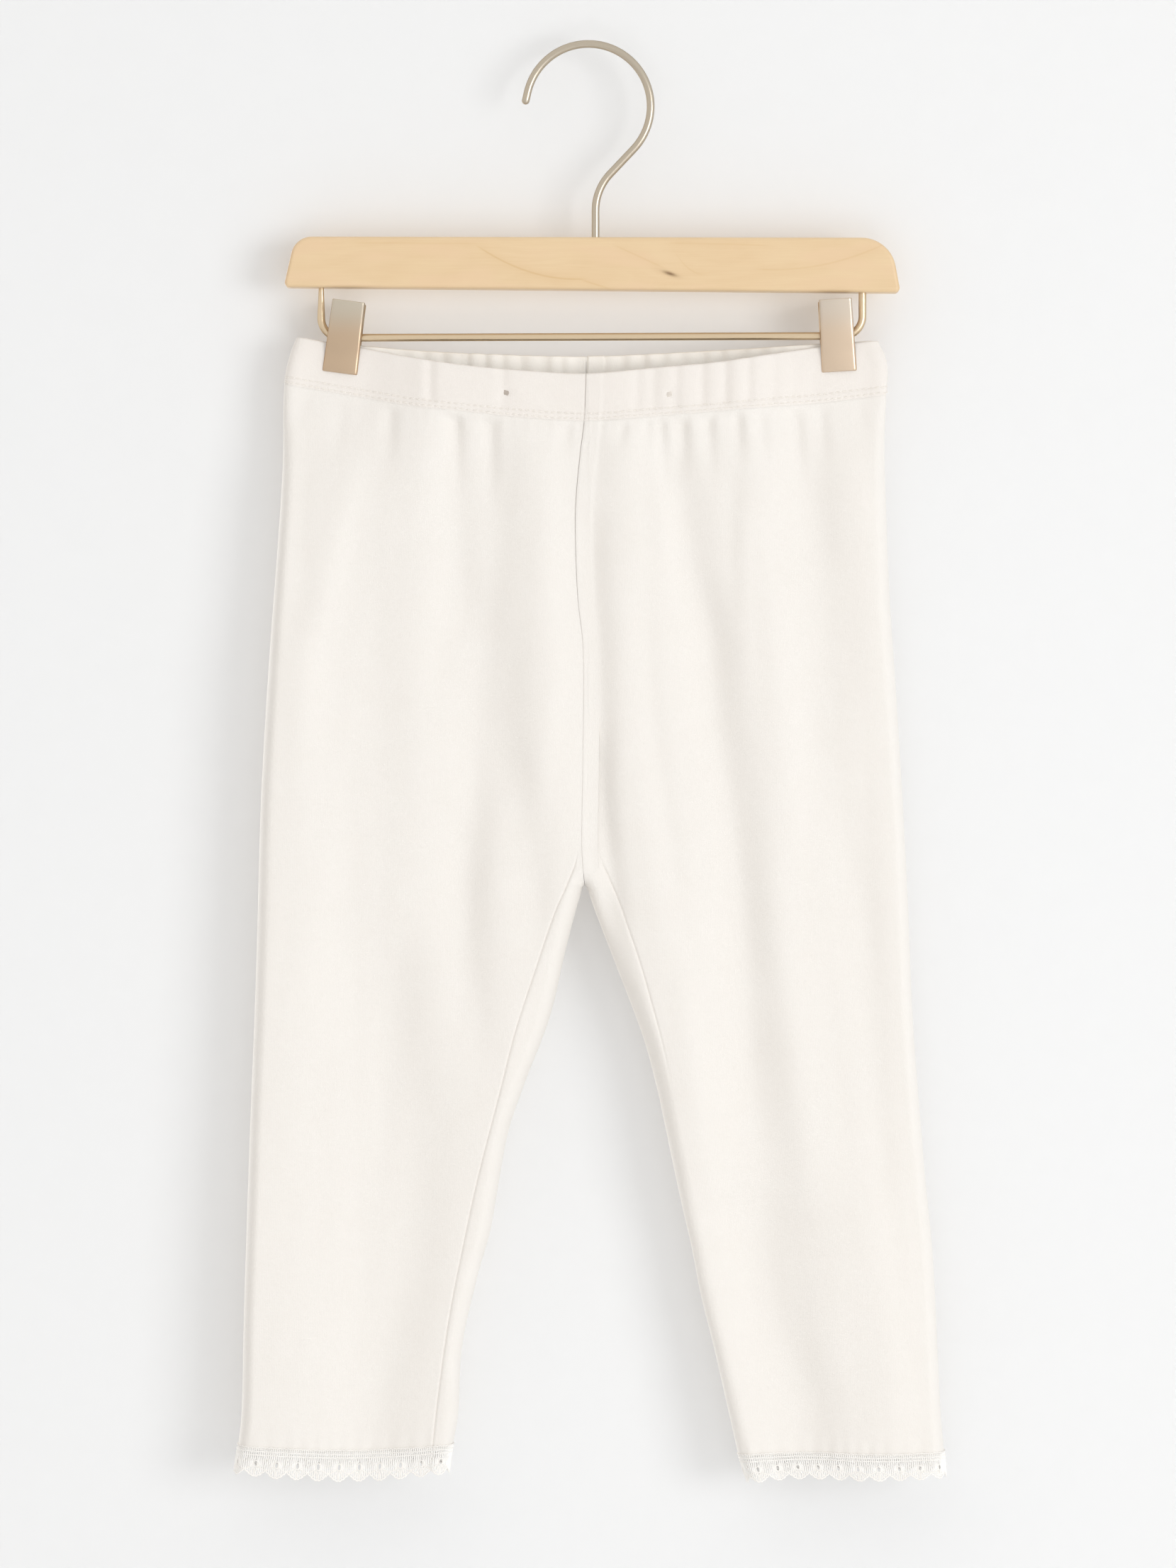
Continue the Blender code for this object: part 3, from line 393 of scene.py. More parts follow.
# Casing: how it stands over the cloth, its stitches, and the seam and dips inside its back.
CASING_HEIGHT = 20.6
CASING_STEP = 0.7
CASING_ROUND = 0.9
ROLL_HEIGHT = 0.95
FLAT_PROUD, ELASTIC_PROUD = 0.3, 0.25
ELASTIC_FOOT, ELASTIC_TOP, ELASTIC_FADE = 4.0, 19.0, 4.0
STITCH_ROWS = (0.9, 3.1)
STITCH_PITCH = 2.8
ROW_DEPTH, ROW_REACH = 0.12, 0.55
HOLE_DEPTH, HOLE_REACH = 0.22, 0.35
SEAM_START = -0.7
DIP_DEPTH, DIP_WIDTH = 0.35, 1.3

# A stitch and a bar of a tack: distance along, and lift off the cloth.
STITCH_SHAPE = (
    (0.0, -0.25), (0.22, 0.08), (0.55, 0.2), (1.1, 0.24), (1.65, 0.2), (1.98, 0.08), (2.2, -0.25),
)
TACK_SHAPE = ((-1.5, -0.3), (-0.8, 0.12), (0.8, 0.12), (1.5, -0.3))
THREAD_TIP = 0.45
STITCH_THREAD, TACK_THREAD = 0.17, 0.25
TACK_BARS, TACK_PITCH = 5, 0.42

# Lace: sizes, its rings, the spokes' angles, and the cords that run round it.
LACE_PITCH = 9.0
LACE_HEIGHT = 10.9
SCALLOP_DEPTH = 2.6
PICOT, PICOT_LENGTH = 0.4, 1.5
NET_PITCH = 0.9
PARTED = 1.6
LEG_LENGTH = 240.0
PHASE_COLUMNS = (25, 60)
Yarn = namedtuple("Yarn", "lift radius sides")
PILLAR, LINK = Yarn(0.1, 0.265, 4), Yarn(0.0, 0.18, 3)
SPOKE, EDGE = Yarn(0.25, 0.2, 4), Yarn(0.1, 0.34, 6)
Ring = namedtuple("Ring", "below wide tall steps yarn")
EYELET = Ring(5.4, 0.85, 1.3, 22, Yarn(0.22, 0.27, 5))
SMALL_RING = Ring(4.0, 0.6, 0.8, 12, Yarn(0.2, 0.17, 4))
SPOKES = (-0.95, -0.5, 0.0, 0.5, 0.95)
SPOKE_SPREAD = 4.1
LACE_ROWS = ((-1.1, Yarn(0.3, 0.24, 5)), (0.5, Yarn(0.25, 0.28, 5)), (1.9, Yarn(0.2, 0.26, 5)))

# Hanger sizes, as in the solids
WIRE_RADIUS = 1.65
HOOK_RADIUS = 26.9
HOOK_TIP_ANGLE = 167
HOOK_TIP_RUN = 5.4
HOOK_LEAVE_ANGLE = -44
NECK_RADIUS = 23.0
STEM_X = 3.1
BAR_DEPTH = 12.0
BAR_EDGE = 1.6
SOCKET_DEPTH = 8.0
BEND_RADIUS = 8.5
HOOK_CENTRE_Z = WIRE_RADIUS - HOOK_RADIUS
BAR_CORNERS = (
    (-131.4, -103.6, 2.0), (134.6, -106.0, 2.0), (130.2, -82.3, 15.0), (-126.4, -81.8, 9.0),
)

# Clip sizes, as in the solids
JAW_SHEET = 0.9
JAW_CROWN = 0.3
JAW_TOP_WIDTH = 14.2
JAW_FOOT_WIDTH = 15.2
JAW_CORNER = 1.3
SPRING_RADIUS = 2.95
SPRING_WIRE = 0.45
SPRING_LENGTH = 6.8
SPRING_TURNS = 6.5
SPRING_SHIFT = 1.8
SPRING_LEG = ((5.3, 9.6), (4.5, 6.6), (3.5, 3.8), (2.75, 1.4))

# A jaw's side profile: height above the wire, from the middle plane to the plate, side ear.
Jaw = namedtuple("Jaw", "height distance ear")
JAW_PROFILE = (
    Jaw(15.6, 7.5, 1.2),
    Jaw(11.0, 6.4, 2.6),
    Jaw(6.0, 5.3, 3.2),
    Jaw(0.8, 4.6, 2.6),
    Jaw(-1.6, 4.3, 0.9),
    Jaw(-8.0, 3.3, 0.15),
    Jaw(-15.5, 2.95, 0.05),
)

# Cloth colours: plain and deep. The inside one is painted light, much paler than the cloth, to lift
# the shade inside the casing
CREAM = ((0.812, 0.783, 0.745), (0.790, 0.755, 0.711))
CREAM_CASING = ((0.808, 0.768, 0.727), (0.786, 0.741, 0.695))
CREAM_INSIDE_PAINTED_LIGHT = ((0.97, 0.94, 0.89), (0.955, 0.915, 0.855))
WALE_LENGTH, COURSE_LENGTH = 1.5, 0.62
UV_UNIT = 100.0

# Wood: its tones, the knot, and growth lines from start to end in x, each at
# z = height + away * (slope + bend * away).
WOOD_DEEP, WOOD_PALE = (0.695, 0.50, 0.29), (0.755, 0.575, 0.355)
WOOD_BLUSH, WOOD_GROWTH, WOOD_END_AND_SHADE = (0.74, 0.535, 0.335), (0.60, 0.385, 0.17), (0.60, 0.39, 0.20)
KNOT = (35.1, -97.9)
KNOT_LEAN = -18.0
KNOT_SIZE = (3.1, 0.8)
KNOT_TONES = ((1.7, 0.3, (0.54, 0.34, 0.17)), (0.9, 0.95, (0.20, 0.11, 0.045)))
Growth = namedtuple("Growth", "start end height slope bend strength")
GROWTHS = (
    Growth(-104.0, -44.0, -84.6, -0.005, 0.0, 0.35),
    Growth(-50.0, 2.0, -84.5, -0.709, 0.00797, 0.85),
    Growth(-6.0, 13.0, -99.6, -0.32, 0.0, 0.6),
    Growth(9.0, 36.0, -84.6, -0.46, 0.0, 0.45),
    Growth(35.5, 54.0, -85.6, -1.81, 0.0656, 0.4),
    Growth(33.0, 82.0, -84.8, 0.0, -0.0005, 0.4),
    Growth(70.0, 132.0, -95.7, -0.10, 0.0049, 0.45),
)

# Metal: plain and dark tone, and for the plates a painted reflection: the tone above the wire,
# between two heights
STEEL = ((0.60, 0.53, 0.43), (0.50, 0.44, 0.35))
WARM_STEEL = ((0.80, 0.645, 0.45), (0.69, 0.545, 0.37))
# The left plates are darker than the right: shaded and lit copies of one metal, painted light
PLATE_TONES = {
    "left": ((0.635, 0.485, 0.345), (0.58, 0.43, 0.295), (0.64, 0.57, 0.465)),
    "right": ((0.745, 0.60, 0.46), (0.69, 0.54, 0.40), (0.71, 0.62, 0.52)),
}
PAINTED_REFLECTION_HEIGHTS = (-126.0, -111.0)
WIRE_GRAIN, PLATE_GRAIN = (0.5, 4.0, 4.0), (6.0, 6.0, 0.4)

# Stage, as y and z, and its light in metres and watts
STAGE_PALE = (0.80, 0.805, 0.81)
STAGE_REACH = 4000.0
FLOOR_Z = -1050.0
WALL_TOP, WALL_FOOT = (9.0, 600.0), (33.0, FLOOR_Z)
Light = namedtuple("Light", "name place target size power colour mirrored")
MIDDLE, LOWER = (0.0, 0.0, -0.32), (0.0, 0.0, -0.45)
LIGHTS = (
    Light("key", (2.7, -3.1, -0.3), MIDDLE, 2.0, 50.0, (0.99, 0.995, 1.0), True),
    Light("low", (0.15, -1.5, -1.0), LOWER, 1.2, 4.6, (1.0, 0.995, 0.985), False),
    Light("behind", (-1.2, 2.3, -0.1), MIDDLE, 1.4, 37.0, (1.0, 0.985, 0.975), True),
)
WORLD_STRENGTH = (0.85, 0.88)
WORLD_LEFT, WORLD_RIGHT = (1.06, 1.02, 0.975), (0.95, 0.965, 0.975)


def smooth_step(value):
    value = np.clip(value, 0.0, 1.0)
    return value * value * (3.0 - 2.0 * value)


def fade_up(value, start, run):
    """0 up to the start, and 1 from a run above it."""
    return smooth_step((value - start) / run)


def fade_down(value, start, run):
    """0 down to the start, and 1 from a run below it."""
    return smooth_step((start - value) / run)


def bell(away, width):
    return np.exp(-((away / width) ** 2))


def through(rows, at):
    """A smooth curve through (position, value) rows, read at an array of positions."""
    place, value = np.array(sorted(rows), float).T
    slope = np.empty_like(value)
    slope[1:-1] = (value[2:] - value[:-2]) / (place[2:] - place[:-2])
    slope[0] = (value[1] - value[0]) / (place[1] - place[0])
    slope[-1] = (value[-1] - value[-2]) / (place[-1] - place[-2])
    at = np.clip(at, place[0], place[-1])
    i = np.clip(np.searchsorted(place, at, side="right") - 1, 0, len(place) - 2)
    span = place[i + 1] - place[i]
    t = (at - place[i]) / span
    hermite = (2 * t**3 - 3 * t**2 + 1) * value[i] + (3 * t**2 - 2 * t**3) * value[i + 1]
    return hermite + span * ((t**3 - 2 * t**2 + t) * slope[i] + (t**3 - t**2) * slope[i + 1])


def read_columns(rows, *names):
    return [[(row.x, getattr(row, name)) for row in rows] for name in names]


LEVELS = {face: read_columns(WAIST, f"{name}_top", f"{name}_line") for face, name in FACES.items()}
HEM_LEVELS = {
    side: {face: read_columns(rows, f"{name}_edge", f"{name}_lace") for face, name in FACES.items()}
    for side, rows in HEMS.items()
}


def wire_height(x):
    (left_x, left_z), (right_x, right_z) = WIRE_LEFT, WIRE_RIGHT
    return left_z + (right_z - left_z) * (x - left_x) / (right_x - left_x)


def height(side, face, level, x):
    """Level 0 is the waist edge, 1 the stitch line, 2 the crotch, 3 the hem and 4 the lace edge."""
    top, line = (through(rows, x) for rows in LEVELS[face])
    hem, lace = (through(rows, x) for rows in HEM_LEVELS[side][face])
    return np.select(
        [level < 1, level < CROTCH_LEVEL, level < HEM_LEVEL],
        [
            top + (line - top) * level,
            line + (CROTCH_Z - line) * (level - 1),
            CROTCH_Z + (hem - CROTCH_Z) * (level - CROTCH_LEVEL),
        ],
        hem + (lace - hem) * (level - HEM_LEVEL),
    )


def inner_edge(side, face, level, z):
    away = -SEAM_RUN if side == "left" else SEAM_RUN
    return np.where(level >= CROTCH_LEVEL, through(INNER[side], z), through(SEAMS[face], z) + away)


def run_from(arc, radius, quarter):
    """Distance from a rounded edge for an arc of cloth that starts at it."""
    rounded = radius * (1 - np.cos(0.5 * np.pi * np.minimum(arc, quarter) / quarter))
    return rounded + np.maximum(arc - quarter, 0.0)


def arc_from(run, radius, quarter):
    """The inverse of run_from."""
    share = np.clip(1 - run / radius, -1.0, 1.0)
    rounded = quarter * np.arccos(np.maximum(share, 0.0)) / (0.5 * np.pi)
    return np.where(run < radius, rounded, quarter + run - radius)


def rounding(distance, radius):
    share = 1 - np.clip(distance, 0.0, radius) / radius
    return np.sqrt(np.maximum(0.0, 1 - share * share))


def pinch(x, z):
    """1 where a clip holds the layers together, fading to 0 around it."""
    most = np.zeros_like(x)
    for clip in CLIPS.values():
        middle = clip.x + (z - wire_height(clip.x)) * math.tan(math.radians(clip.lean))
        beside = smooth_step(1 - (np.abs(x - middle) - CLIP_REACH) / CLIP_FADE)
        below = smooth_step(1 - (CLIP_FOOT_Z - z) / CLIP_DROP)
        most = np.maximum(most, beside * below)
    return most


def lopsided(away, width):
    """A fold's profile: it is softer on the left, and its right flank lies on the fold's path."""
    width = FOLD_SPREAD * width
    away = away + FOLD_LEAN * width
    return bell(away, np.where(away < 0, (1 - FOLD_SKEW) * width, (1 + FOLD_SKEW) * width))


def fold_depth(folds, face, x, z):
    """How far the long folds take the cloth in."""
    total = np.zeros_like(x)
    for fold in folds[face]:
        top, foot = fold.path[0][1], fold.path[-1][1]
        middle = through(tuple((pz, px) for px, pz in fold.path), z)
        ends = fade_down(z, top, FOLD_START) * fade_up(z, foot, (top - foot) * FOLD_FADE)
        total += fold.depth * ends * lopsided(x - middle, fold.width)
    return total


def gather_depth(face, x, z):
    """How far the gathers take the cloth in, above and below the stitch line."""
    drop = through(LEVELS[face][1], x) - z
    below = np.zeros_like(x)
    for gather in GATHERS[face]:
        middle = gather.x + gather.slant * drop / gather.length
        fade = smooth_step(drop / GATHER_START) * smooth_step(1 - drop / gather.length)
        below += gather.depth * fade * lopsided(x - middle, gather.width / FOLD_SPREAD)
    above = np.zeros_like(x)
    for middle in CASING_GATHERS[face]:
        out = 1.0 if face == BACK else 0.5 + 0.5 * fade_up(abs(middle), CALM_REACH, CALM_FADE)
        above += CASING_GATHER_DEPTH * out * bell(x - middle, CASING_GATHER_WIDTH)
    above *= smooth_step(-drop / GATHER_START)
    return np.where(drop > 0, below, above)


def lattice(cell_x, cell_z, seed):
    """A smooth random field over the cloth, as a function of x and z."""
    size = LATTICE_SIZE
    values = np.random.default_rng(seed).uniform(-1, 1, (size, size))

    def read(x, z):
        at_x, at_z = np.mod(x / cell_x, size), np.mod(z / cell_z, size)
        i, j = at_x.astype(int) % size, at_z.astype(int) % size
        a, b = smooth_step(at_x - np.floor(at_x)), smooth_step(at_z - np.floor(at_z))
        near = values[i, j] * (1 - a) + values[(i + 1) % size, j] * a
        far = values[i, (j + 1) % size] * (1 - a) + values[(i + 1) % size, (j + 1) % size] * a
        return near * (1 - b) + far * b

    return read


DRAPE = {
    face: [(lattice(across, down, seed + face), depth) for across, down, seed, depth in UNEVEN]
    for face in FACES
}


def wander(x, z, face):
    """A faint unevenness, longer down the cloth than across it."""
    lean = x + UNEVEN_LEAN * (z - CROTCH_Z) * np.sign(x)
    return sum(depth * field(lean, z) for field, depth in DRAPE[face])


def rippled(ripple, x, near):
    phase = 2 * np.pi * x / ripple.length + ripple.drift * np.sin(x / ripple.drift_length)
    return ripple.depth * np.sin(phase) * near


def puckers(side, face, x, z):
    """Small ripples along the hem and under the stitch line."""
    hem = through(HEM_LEVELS[side][face][0], x)
    drop = through(LEVELS[face][1], x) - z
    near_line = bell(np.maximum(drop, 0.0), LINE_RIPPLE.reach) * smooth_step(drop / RIPPLE_START)
    near_hem = bell(z - hem, HEM_RIPPLE.reach)
    return rippled(HEM_RIPPLE, x, near_hem) + rippled(LINE_RIPPLE, x, near_line)


def tack_depth(x, z):
    """How far the tacks take the casing in."""
    total = np.zeros_like(x)
    for tack_x, tack_z in TACKS.values():
        for dent in DENTS:
            beside = (x - tack_x - dent.x) / dent.wide
            above = (z - tack_z - dent.z) / dent.tall
            total += dent.depth * np.exp(-(beside**2 + above**2))
    return total


def face_arcs(side, face, level, z):
    """Arc position of the seam line on one face, and the arc from the inner to the outer edge."""
    width = np.abs(through(OUTER[side], z) - inner_edge(side, face, level, z))
    total = INNER_ARC + OUTER_ARC + width - INSEAM_ROUND - SIDE_ROUND
    if face == FRONT:
        run = np.abs(through(INSEAMS[side], z) - inner_edge(side, face, level, z))
    else:
        run = np.full_like(width, INSEAM_ROUND)
    return arc_from(np.maximum(run, LEAST_SEAM_RUN), INSEAM_ROUND, INNER_ARC), total


def line_relief(line, away):
    return line.height * bell(away, line.reach)


def seam_relief(side, face, run, line_run, z):
    """Height of the seams: the pressed allowance beside the centre seam, and the inseam."""
    torso = fade_up(z, *TORSO_SEAM)
    if face == BACK:
        return line_relief(BACK_SEAM, run) * torso
    away = run - line_run
    strength = FAINT_SEAM + (1 - FAINT_SEAM) * fade_up(z, *CLEAR_SEAM)
    relief = line_relief(FRONT_SEAM, run) * torso * strength
    shown = 1.0
    if side == "right":
        pressed = smooth_step(0.5 - away / RIDGE_AWAY)
        relief += ALLOWANCE_LIFT * pressed * torso * strength
        shown = fade_up(z, *RIGHT_INSEAM)
    leg = fade_down(z, *LEG_INSEAM) * shown
    return relief + leg * (line_relief(INSEAM, away) + line_relief(INSEAM_RIDGE, away + RIDGE_AWAY))


Face = namedtuple("Face", "points arc total")


def cloth_face(side, face, levels, places):
    """The outside of one face as a grid, with the arc of each point from the inner edge.

    levels is one value a row. places is one value a column: -1 to 0 from the inner edge to the
    seam line, and 0 to 1 from there to the outer edge.
    """
    level, place = np.meshgrid(levels, places, indexing="ij")
    x = through(OUTER[side], np.full_like(level, CROTCH_Z)) * np.abs(place)
    for _ in range(SETTLING):
        z = height(side, face, level, x)
        line, total = face_arcs(side, face, level, z)
        arc = np.where(place < 0, line * (1 + place), line + (total - line) * place)
        inner, outer = inner_edge(side, face, level, z), through(OUTER[side], z)
        far = np.abs(outer - inner) - run_from(total - arc, SIDE_ROUND, OUTER_ARC)
        run = np.where(arc < 0.5 * total, run_from(arc, INSEAM_ROUND, INNER_ARC), far)
        x = inner + np.copysign(run, outer - inner)
    z = height(side, face, level, x)
    to_crotch = np.hypot(x - CROTCH_X, z - CROTCH_Z)
    inner_run = np.where(level >= CROTCH_LEVEL, np.abs(x - inner), to_crotch)
    ends = rounding(np.abs(outer - x), SIDE_ROUND) * rounding(inner_run, INSEAM_ROUND)
    held = pinch(x, z)
    full = through(HALF_DEPTH[face], z) - fold_depth(FOLDS, face, x, z)
    full -= fold_depth(CREASES, face, x, z) + wander(x, z, face) + puckers(side, face, x, z)
    half = full * (1 - held) + (0.5 * CLIP_GRIP - CASING_PROUD) * held
    loose = 1 - held * (1 - CLIP_SLACK * fade_down(z, CLIP_FOOT_Z, FOLD_START))
    half -= GATHER_BOOST * gather_depth(face, x, z) * loose
    wave = np.sin(2 * np.pi * x / LACE_WAVE_LENGTH)
    half += LACE_WAVE * np.maximum(level - HEM_LEVEL, 0.0) * wave
    relief = seam_relief(side, face, run, run_from(line, INSEAM_ROUND, INNER_ARC), z)
    if face == FRONT:
        relief -= tack_depth(x, z)
    half = half * ends + relief * np.minimum(1.0, ends + RELIEF_AT_EDGE)
    return Face(np.stack([x, face * half, z], axis=-1), arc, total)


def cloth_ring(side, levels, front_places, back_places):
    """The outside round one side, and how far round each point is from the outer fold."""
    front = cloth_face(side, FRONT, levels, front_places)
    back = cloth_face(side, BACK, levels, back_places[::-1])
    points = np.concatenate([front.points, back.points[:, 1:]], axis=1)
    around = np.concatenate([front.arc - front.total, (back.total - back.arc)[:, 1:]], axis=1)
    return points, around


def places_across(step, inner_steps):
    """Places from the inner to the outer edge, an even step apart but closer at the seam line."""
    beside = np.array(BESIDE_SEAM)
    before = -beside[6:0:-1] / INNER_ARC
    first = np.linspace(-1.0, before[0], inner_steps, endpoint=False)
    after = beside / PANEL_ARC
    last = 1 - OUTER_ARC / PANEL_ARC
    count = int((last - after[-1]) * PANEL_ARC / step)
    middle = np.linspace(after[-1], last, count, endpoint=False)
    return np.concatenate([first, before, after[:-1], middle, np.linspace(last, 1.0, 10)])


def even_places(inner_steps, outer_steps):
    inner = np.linspace(-1, 0, inner_steps, endpoint=False)
    return np.concatenate([inner, np.linspace(0, 1, outer_steps)])


def quads_of(index):
    corners = (index[:-1, :-1], index[:-1, 1:], index[1:, 1:], index[1:, :-1])
    return np.stack(corners, axis=-1).reshape(-1, 4)


def flipped(parts):
    return [part[:, ::-1] for part in parts]


def grid_index(points, closed=None):
    """Point numbers of a grid. The last column of a closed row is its first."""
    rows, columns = points.shape[:2]
    index = np.arange(rows * columns).reshape(rows, columns)
    if closed is not None:
        index[closed, -1] = index[closed, 0]
    return index


def outward(side, points, closed):
    """Unit normals of a ring grid, pointing out. On a centre seam they have no X."""
    quads = quads_of(grid_index(points, closed))
    flat = points.reshape(-1, 3)
    a, b, c, d = (flat[quads[:, k]] for k in range(4))
    faces = np.cross(c - a, d - b)
    normals = np.zeros_like(flat)
    for k in range(4):
        np.add.at(normals, quads[:, k], faces)
    normals /= np.maximum(np.linalg.norm(normals, axis=1, keepdims=True), 1e-9)
    normals = normals.reshape(points.shape)
    if side == "right":
        normals = -normals
    normals[closed, -1] = normals[closed, 0]
    normals[~closed, 0, 0] = 0.0
    normals[~closed, -1, 0] = 0.0
    return normals / np.linalg.norm(normals, axis=-1, keepdims=True)


def add_object(name, data):
    obj = bpy.data.objects.new(name, data)
    bpy.context.scene.collection.objects.link(obj)
    return obj


def new_mesh(name, points, faces, material, uv=None, sharp=60):
    """An object in metres from points in millimetres, without the points that no face uses."""
    used = np.zeros(len(points), bool)
    for part in faces:
        used[part.ravel()] = True
    place = np.cumsum(used) - 1
    mesh = bpy.data.meshes.new(name)
    listed = [row for part in faces for row in place[part].tolist()]
    mesh.from_pydata((points[used] * MM).tolist(), [], listed)
    if uv is not None:
        layer = mesh.uv_layers.new(name="cloth")
        layer.data.foreach_set("uv", np.asarray(uv, np.float32).ravel())
    mesh.shade_smooth()
    mesh.set_sharp_from_angle(angle=math.radians(sharp))
    mesh.materials.append(material)
    return add_object(name, mesh)


def cloth_uv(across, down, faces):
    """Cloth coordinates for each corner of the faces, from two grids in millimetres."""
    uv = np.stack([across, down], axis=-1).reshape(-1, 2) / UV_UNIT
    return np.concatenate([uv[part.ravel()] for part in faces])


def shell_faces(index, inside, closed, flip):
    """Quads of a two-sided shell: outside, inside and every rim."""
    outer = quads_of(index)
    parts = [outer, (outer + inside)[:, ::-1]]
    seam = np.flatnonzero(~closed[:-1])
    rims = (
        (index[0, :-1], index[0, 1:]),
        (index[-1, 1:], index[-1, :-1]),
        (index[seam + 1, 0], index[seam, 0]),
        (index[seam, -1], index[seam + 1, -1]),
    )
    for a, b in rims:
        parts.append(np.stack([b, a, a + inside, b + inside], axis=-1))
    faces = np.concatenate(parts)
    return faces[:, ::-1] if flip else faces


def shell(name, side, points, closed, wall, around, material):
    """A thin two-sided cloth from the grid of its outside."""
    flat = points.reshape(-1, 3)
    inside = (points - outward(side, points, closed) * wall).reshape(-1, 3)
    faces, uv_faces = (
        shell_faces(grid_index(points, wrapped), len(flat), closed, side == "right")
        for wrapped in (closed, None)
    )
    uv = cloth_uv(np.stack([around] * 2), np.stack([points[..., 2]] * 2), [uv_faces])
    return new_mesh(name, np.concatenate([flat, inside]), [faces], material, uv)


class Threads:
    """Swept threads, gathered into one mesh."""

    def __init__(self):
        self.points, self.faces, self.count = [], [], 0

    def add(self, path, radius, facing, sides, loop=False, tips=(THREAD_TIP, THREAD_TIP)):
        """A thread along a path. Each tip of an open one is a share of its radius."""
        path = np.asarray(path, float)
        if loop:
            ahead = np.roll(path, -1, axis=0) - np.roll(path, 1, axis=0)
        else:
            ahead = np.gradient(path, axis=0)
        ahead /= np.linalg.norm(ahead, axis=1, keepdims=True)
        beside = np.cross(ahead, facing)
        beside /= np.linalg.norm(beside, axis=1, keepdims=True)
        up = np.cross(ahead, beside)
        size = np.broadcast_to(np.asarray(radius, float), len(path)).copy()
        if not loop:
            size[[0, -1]] *= tips
        turn = 2 * np.pi * np.arange(sides) / sides
        ring = np.cos(turn)[:, None] * beside[:, None] + np.sin(turn)[:, None] * up[:, None]
        self.points.append((path[:, None] + size[:, None, None] * ring).reshape(-1, 3))
        index = self.count + np.arange(len(path) * sides).reshape(-1, sides)
        around = np.concatenate([index, index[:, :1]], axis=1)
        if loop:
            self.faces.append(quads_of(np.concatenate([around, around[:1]])))
        else:
            self.faces += [quads_of(around), index[:1, ::-1], index[-1:]]
        self.count += len(path) * sides

    def build(self, name, material, sharp=80):
        return new_mesh(name, np.concatenate(self.points), self.faces, material, sharp=sharp)


def make_leg(side, material):
    """One leg with its half of the torso, from the stitch line to the hem."""
    torso = np.concatenate([
        np.linspace(0.0002, 0.06, 12, endpoint=False), np.linspace(0.06, 0.985, 76), (0.993, 0.998),
    ])
    leg = np.concatenate([
        (0.0, 0.004, 0.01, 0.018, 0.028), np.linspace(0.04, 0.96, 80), (0.97, 0.98, 0.99, 0.9985),
    ])
    levels = np.concatenate([(0.955, 0.985), 1 + torso, 2 + leg])
    closed = levels >= CROTCH_LEVEL
    points, around = cloth_ring(side, levels, places_across(1.3, 12), places_across(2.0, 7))
    points -= outward(side, points, closed) * TUCK * (levels < 1)[:, None, None]
    return shell(f"leg_cloth_{side}", side, points, closed, JERSEY, around, material)


def casing_proud(above, around):
    """How far the casing stands over the cloth surface, at a height above its foot."""
    bulge = ELASTIC_PROUD * fade_up(above, ELASTIC_FOOT, ELASTIC_FADE)
    total = FLAT_PROUD + bulge * fade_down(above, ELASTIC_TOP, ELASTIC_FADE)
    hole = np.abs(np.mod(around / STITCH_PITCH, 1.0) - 0.5) * STITCH_PITCH
    for row in STITCH_ROWS:
        sunk = ROW_DEPTH + HOLE_DEPTH * bell(hole - 0.5 * STITCH_PITCH, HOLE_REACH)
        total = total - bell(above - row, ROW_REACH) * sunk
    return total - FLAT_PROUD * smooth_step(1 - above / CASING_ROUND)


def casing_wall(x, back):
    """Thickness of the casing. At the back it follows the dips and the joined edges of the seam."""
    dips = np.zeros_like(x)
    for at, depth, width in INSIDE_DIPS:
        dips += DIP_DEPTH * depth * bell(x - at, DIP_WIDTH * width)
    seam = 0.4 * fade_up(x, SEAM_START, 0.5) * fade_down(x, SEAM_ALLOWANCE + 0.4, 0.8)
    seam -= 0.3 * bell(x - SEAM_START, 0.5)
    return CASING_THICK + np.where(back, seam - dips, 0.0)


